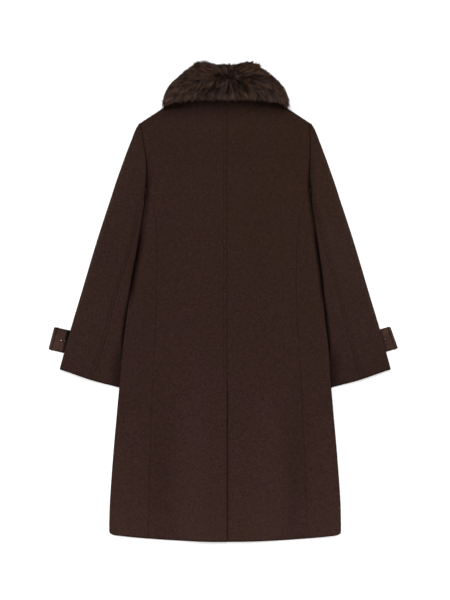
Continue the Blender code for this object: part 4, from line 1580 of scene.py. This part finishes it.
strap = {
    "corner": 3.2,
    "edgeRoll": (0.8, 2.0),
    # how dark and how wide: the darker edges, the painted shade in the groove and round the fittings, and the painted
    # light on the bar
    "longEdge": (1.0, 4.0),
    "shortEdge": (0.7, 2.4),
    "grooveShade": (0.85, 2.1),
    "aroundStud": (0.95, 2.6, 2.4),
    "aroundEyelet": (0.8, 2.0, 2.2),
    "barLight": (0.35, 2.2),
    "bar": {"left": 7.5, "right": 6.5},  # from the outer end to the groove
    "skew": {"left": 0.03, "right": 0.07},
    "sleeveAt": {"left": 35.0, "right": 26.0},
    "shadow": {"left": 0.95, "right": 0.5},
    "tilt": {"left": 0.22, "right": 0.06},  # darker towards one long edge
    "studY": {"left": 0, "right": -2.2},
    "eyeletY": {"left": 0, "right": -1.3},
    "groove": (1.1, 1.3),
    "thick": 3.8,
    "byEdge": (0, 0.8, 1.6, 2.4, 3.4, 4.6, 6.4),  # where cells lie closer
    "byBar": (-1.6, -0.8, 0, 0.8, 1.6),
}


def makeTab(side):
    tab = tabs[side]
    halfWide = tabs["width"] / 2 + 0.5
    bar = strap["bar"][side]
    edgeCells = strap["byEdge"]
    crossways = [c - halfWide for c in edgeCells]
    crossways += steps(crossways[-1], -crossways[-1], 22)[1:-1] + [halfWide - c for c in reversed(edgeCells)]
    lengthways = [*edgeCells[:5], *(bar + c for c in strap["byBar"]), *steps(11, tabs["length"], 34)]
    stud = Vector((tab["stud"], strap["studY"][side]))
    eyelet = Vector((tab["eyelet"], strap["eyeletY"][side]))
    rows = []
    for y in crossways:
        row = []
        edge = halfWide - abs(y)
        inset = 0.0
        if edge < strap["corner"]:
            inset = strap["corner"] - math.sqrt(strap["corner"] ** 2 - (strap["corner"] - edge) ** 2)
        inset -= 0.6 + strap["skew"][side] * y * signs[side]
        for x in lengthways:
            place = Vector((inset + x * (tabs["length"] - inset) / tabs["length"], y))
            around = min(edge, x)
            depth, half = strap["groove"]
            z = tabs["thick"] - fade(around, *strap["edgeRoll"]) - hump(x, depth, bar, half)
            z += hump(x, 0.3, bar / 2, bar / 2) + 0.22 * swell(x * 3, y * 3, 50 + tab["slope"])
            strength, half = strap["grooveShade"]
            # painted shade in the groove, under the sleeve's edge and round the fittings; the edges darker
            dark = max(
                fade(edge, *strap["longEdge"]) if x > 2 else fade(around, *strap["shortEdge"]),
                hump(x, strength, bar, half),
                # painted shadow of the sleeve where the tab runs under it
                fade(strap["sleeveAt"][side] - place.x, strap["shadow"][side], 6),
                hump((place - stud).length, *strap["aroundStud"]),
                hump((place - eyelet).length, *strap["aroundEyelet"]),
            )
            # painted light on the raised bar
            if x < bar:
                strength, half = strap["barLight"]
                dark -= hump(x, strength, bar * 0.5, half)
            dark += strap["tilt"][side] * y / halfWide + 0.18 * swell(x * 2.6, y * 2.6, 90 + tab["slope"])
            row.append(((*place, z), dark))
        rows.append(row)
    shape = gridShape(rows, 1)
    setOnTab(shape, side)
    name = "cuffTab" + side.title()
    pieces[name] = finishPiece(name, shape, ["leather"], ["cuff_tab_" + side])
    addWall(pieces[name], strap["thick"] * 0.5, 0)


fittings = {
    # outline of a fitting from its middle out: distance and height, then its metal
    "Eyelet": {
        "left": ([(0.7, 0.0), (0.8, 0.5), (1.3, 0.9), (1.9, 0.8), (2.3, 0.35), (2.4, 0.0)], "bronze"),
        "right": ([(0.9, -0.3), (0.95, 0.2), (1.2, 0.4), (1.6, 0.35), (1.9, 0.1), (2.0, -0.2)], "bronze"),
    },
    "Stud": {
        "left": ([(0.0, 1.7), (0.8, 1.6), (1.4, 1.2), (1.8, 0.6), (1.9, 0.0)], "metal"),
        "right": ([(0.0, 1.3), (0.5, 1.2), (0.8, 0.9), (1.0, 0.5), (1.05, 0.0)], "metal"),
    },
}


def makeFittings(side):
    for kind, shapes in fittings.items():
        profile, metal = shapes[side]
        shape = bmesh.new()
        verts = [shape.verts.new((x, 0, z)) for x, z in profile]
        if profile[0][0] == 0.0:
            verts.append(shape.verts.new((0, 0, profile[-1][1])))
        edges = [shape.edges.new(pair) for pair in zip(verts, verts[1:])]
        if profile[0][0] > 0.0:
            edges.append(shape.edges.new((verts[-1], verts[0])))
        bmesh.ops.spin(
            shape, geom=[*verts, *edges], cent=(0, 0, 0), axis=(0, 0, 1), angle=math.tau, steps=28, use_merge=True
        )
        bmesh.ops.remove_doubles(shape, verts=shape.verts, dist=0.001)
        bmesh.ops.recalc_face_normals(shape, faces=shape.faces)
        low = kind.lower()
        spot = (tabs[side][low], strap[low + "Y"][side], tabs["thick"] + 0.15)
        bmesh.ops.translate(shape, verts=shape.verts, vec=spot)
        setOnTab(shape, side)
        finishPiece("cuff" + kind + side.title(), shape, [metal], ["cuff_" + low + "_" + side])


for side in signs:
    makeTab(side)
    makeFittings(side)
print("tabs and fittings made")


# Heights of a piece's upper side, in metres
def topSurface(name):
    shape = bmesh.new()
    shape.from_mesh(pieces[name].data)
    tree = BVHTree.FromBMesh(shape)
    shape.free()
    return lambda x, y: tree.ray_cast(Vector((x, y, 100)) * mm, Vector((0, 0, -1)))[0]


stitch = {
    "pitch": 3.6,
    "size": (2.8, 0.5, 0.36),
    "round": 0.14,
    "lift": 0.02,
}


# A row of stitches along a line given in the plane, sunk a little into the cloth
def makeStitches(name, line, cover):
    topOf = topSurface(cover)
    shape = bmesh.new()
    bmesh.ops.create_cube(shape, size=1)
    bmesh.ops.scale(shape, verts=shape.verts, vec=stitch["size"])
    bmesh.ops.bevel(
        shape, geom=list(shape.edges), offset=stitch["round"], affect="EDGES", segments=1, profile=0.5, material=-1
    )
    pattern = bpy.data.meshes.new("stitchPattern")
    shape.to_mesh(pattern)
    shape.free()
    row = bmesh.new()
    travelled = 0.0
    for one, other in zip(line, line[1:]):
        one, other = Vector(one), Vector(other)
        run = other - one
        while travelled < run.length:
            at = one + run.normalized() * travelled
            top = topOf(at.x, at.y)
            if top:
                start = len(row.verts)
                row.from_mesh(pattern)
                row.verts.ensure_lookup_table()
                turn = Matrix.Rotation(math.atan2(run.y, run.x), 4, "Z")
                spot = Matrix.Translation(Vector((at.x * mm, at.y * mm, top.z + stitch["lift"] * mm)))
                bmesh.ops.transform(row, matrix=spot @ turn @ Matrix.Scale(mm, 4), verts=row.verts[start:])
            travelled += stitch["pitch"]
        travelled -= run.length
    bpy.data.meshes.remove(pattern)
    finishPiece(name, row, ["thread"])


def sewRows():
    x = coat["backSeamX"] - back["topstitch"]
    ys = steps(486, coat["ventTopY"] + 2, 40)
    makeStitches("stitchesBack", [(x, y) for y in ys], "backLeft")
    tack = [(coat["backSeamX"] - 3, coat["ventTopY"] - 2), (coat["backSeamX"] - 38, coat["ventTopY"] - 18)]
    makeStitches("stitchesVent", tack, "backLeft")
    for side in signs:
        line = []
        for y in steps(296, sleeve["sections"][-1][0] + 3, 60):
            outer, inner, seam = sleeveSection(side, y)
            width = (inner - outer).length
            backAt = min(seam, 1 - sleeve["underSeam"] / width)
            at = outer.lerp(inner, backAt - sleeveSkin["topstitch"] / width)
            line.append((at.x, at.y))
        makeStitches("stitchesSleeve" + side.title(), line, "sleeveUpper" + side.title())


sewRows()
print("rows sewn")
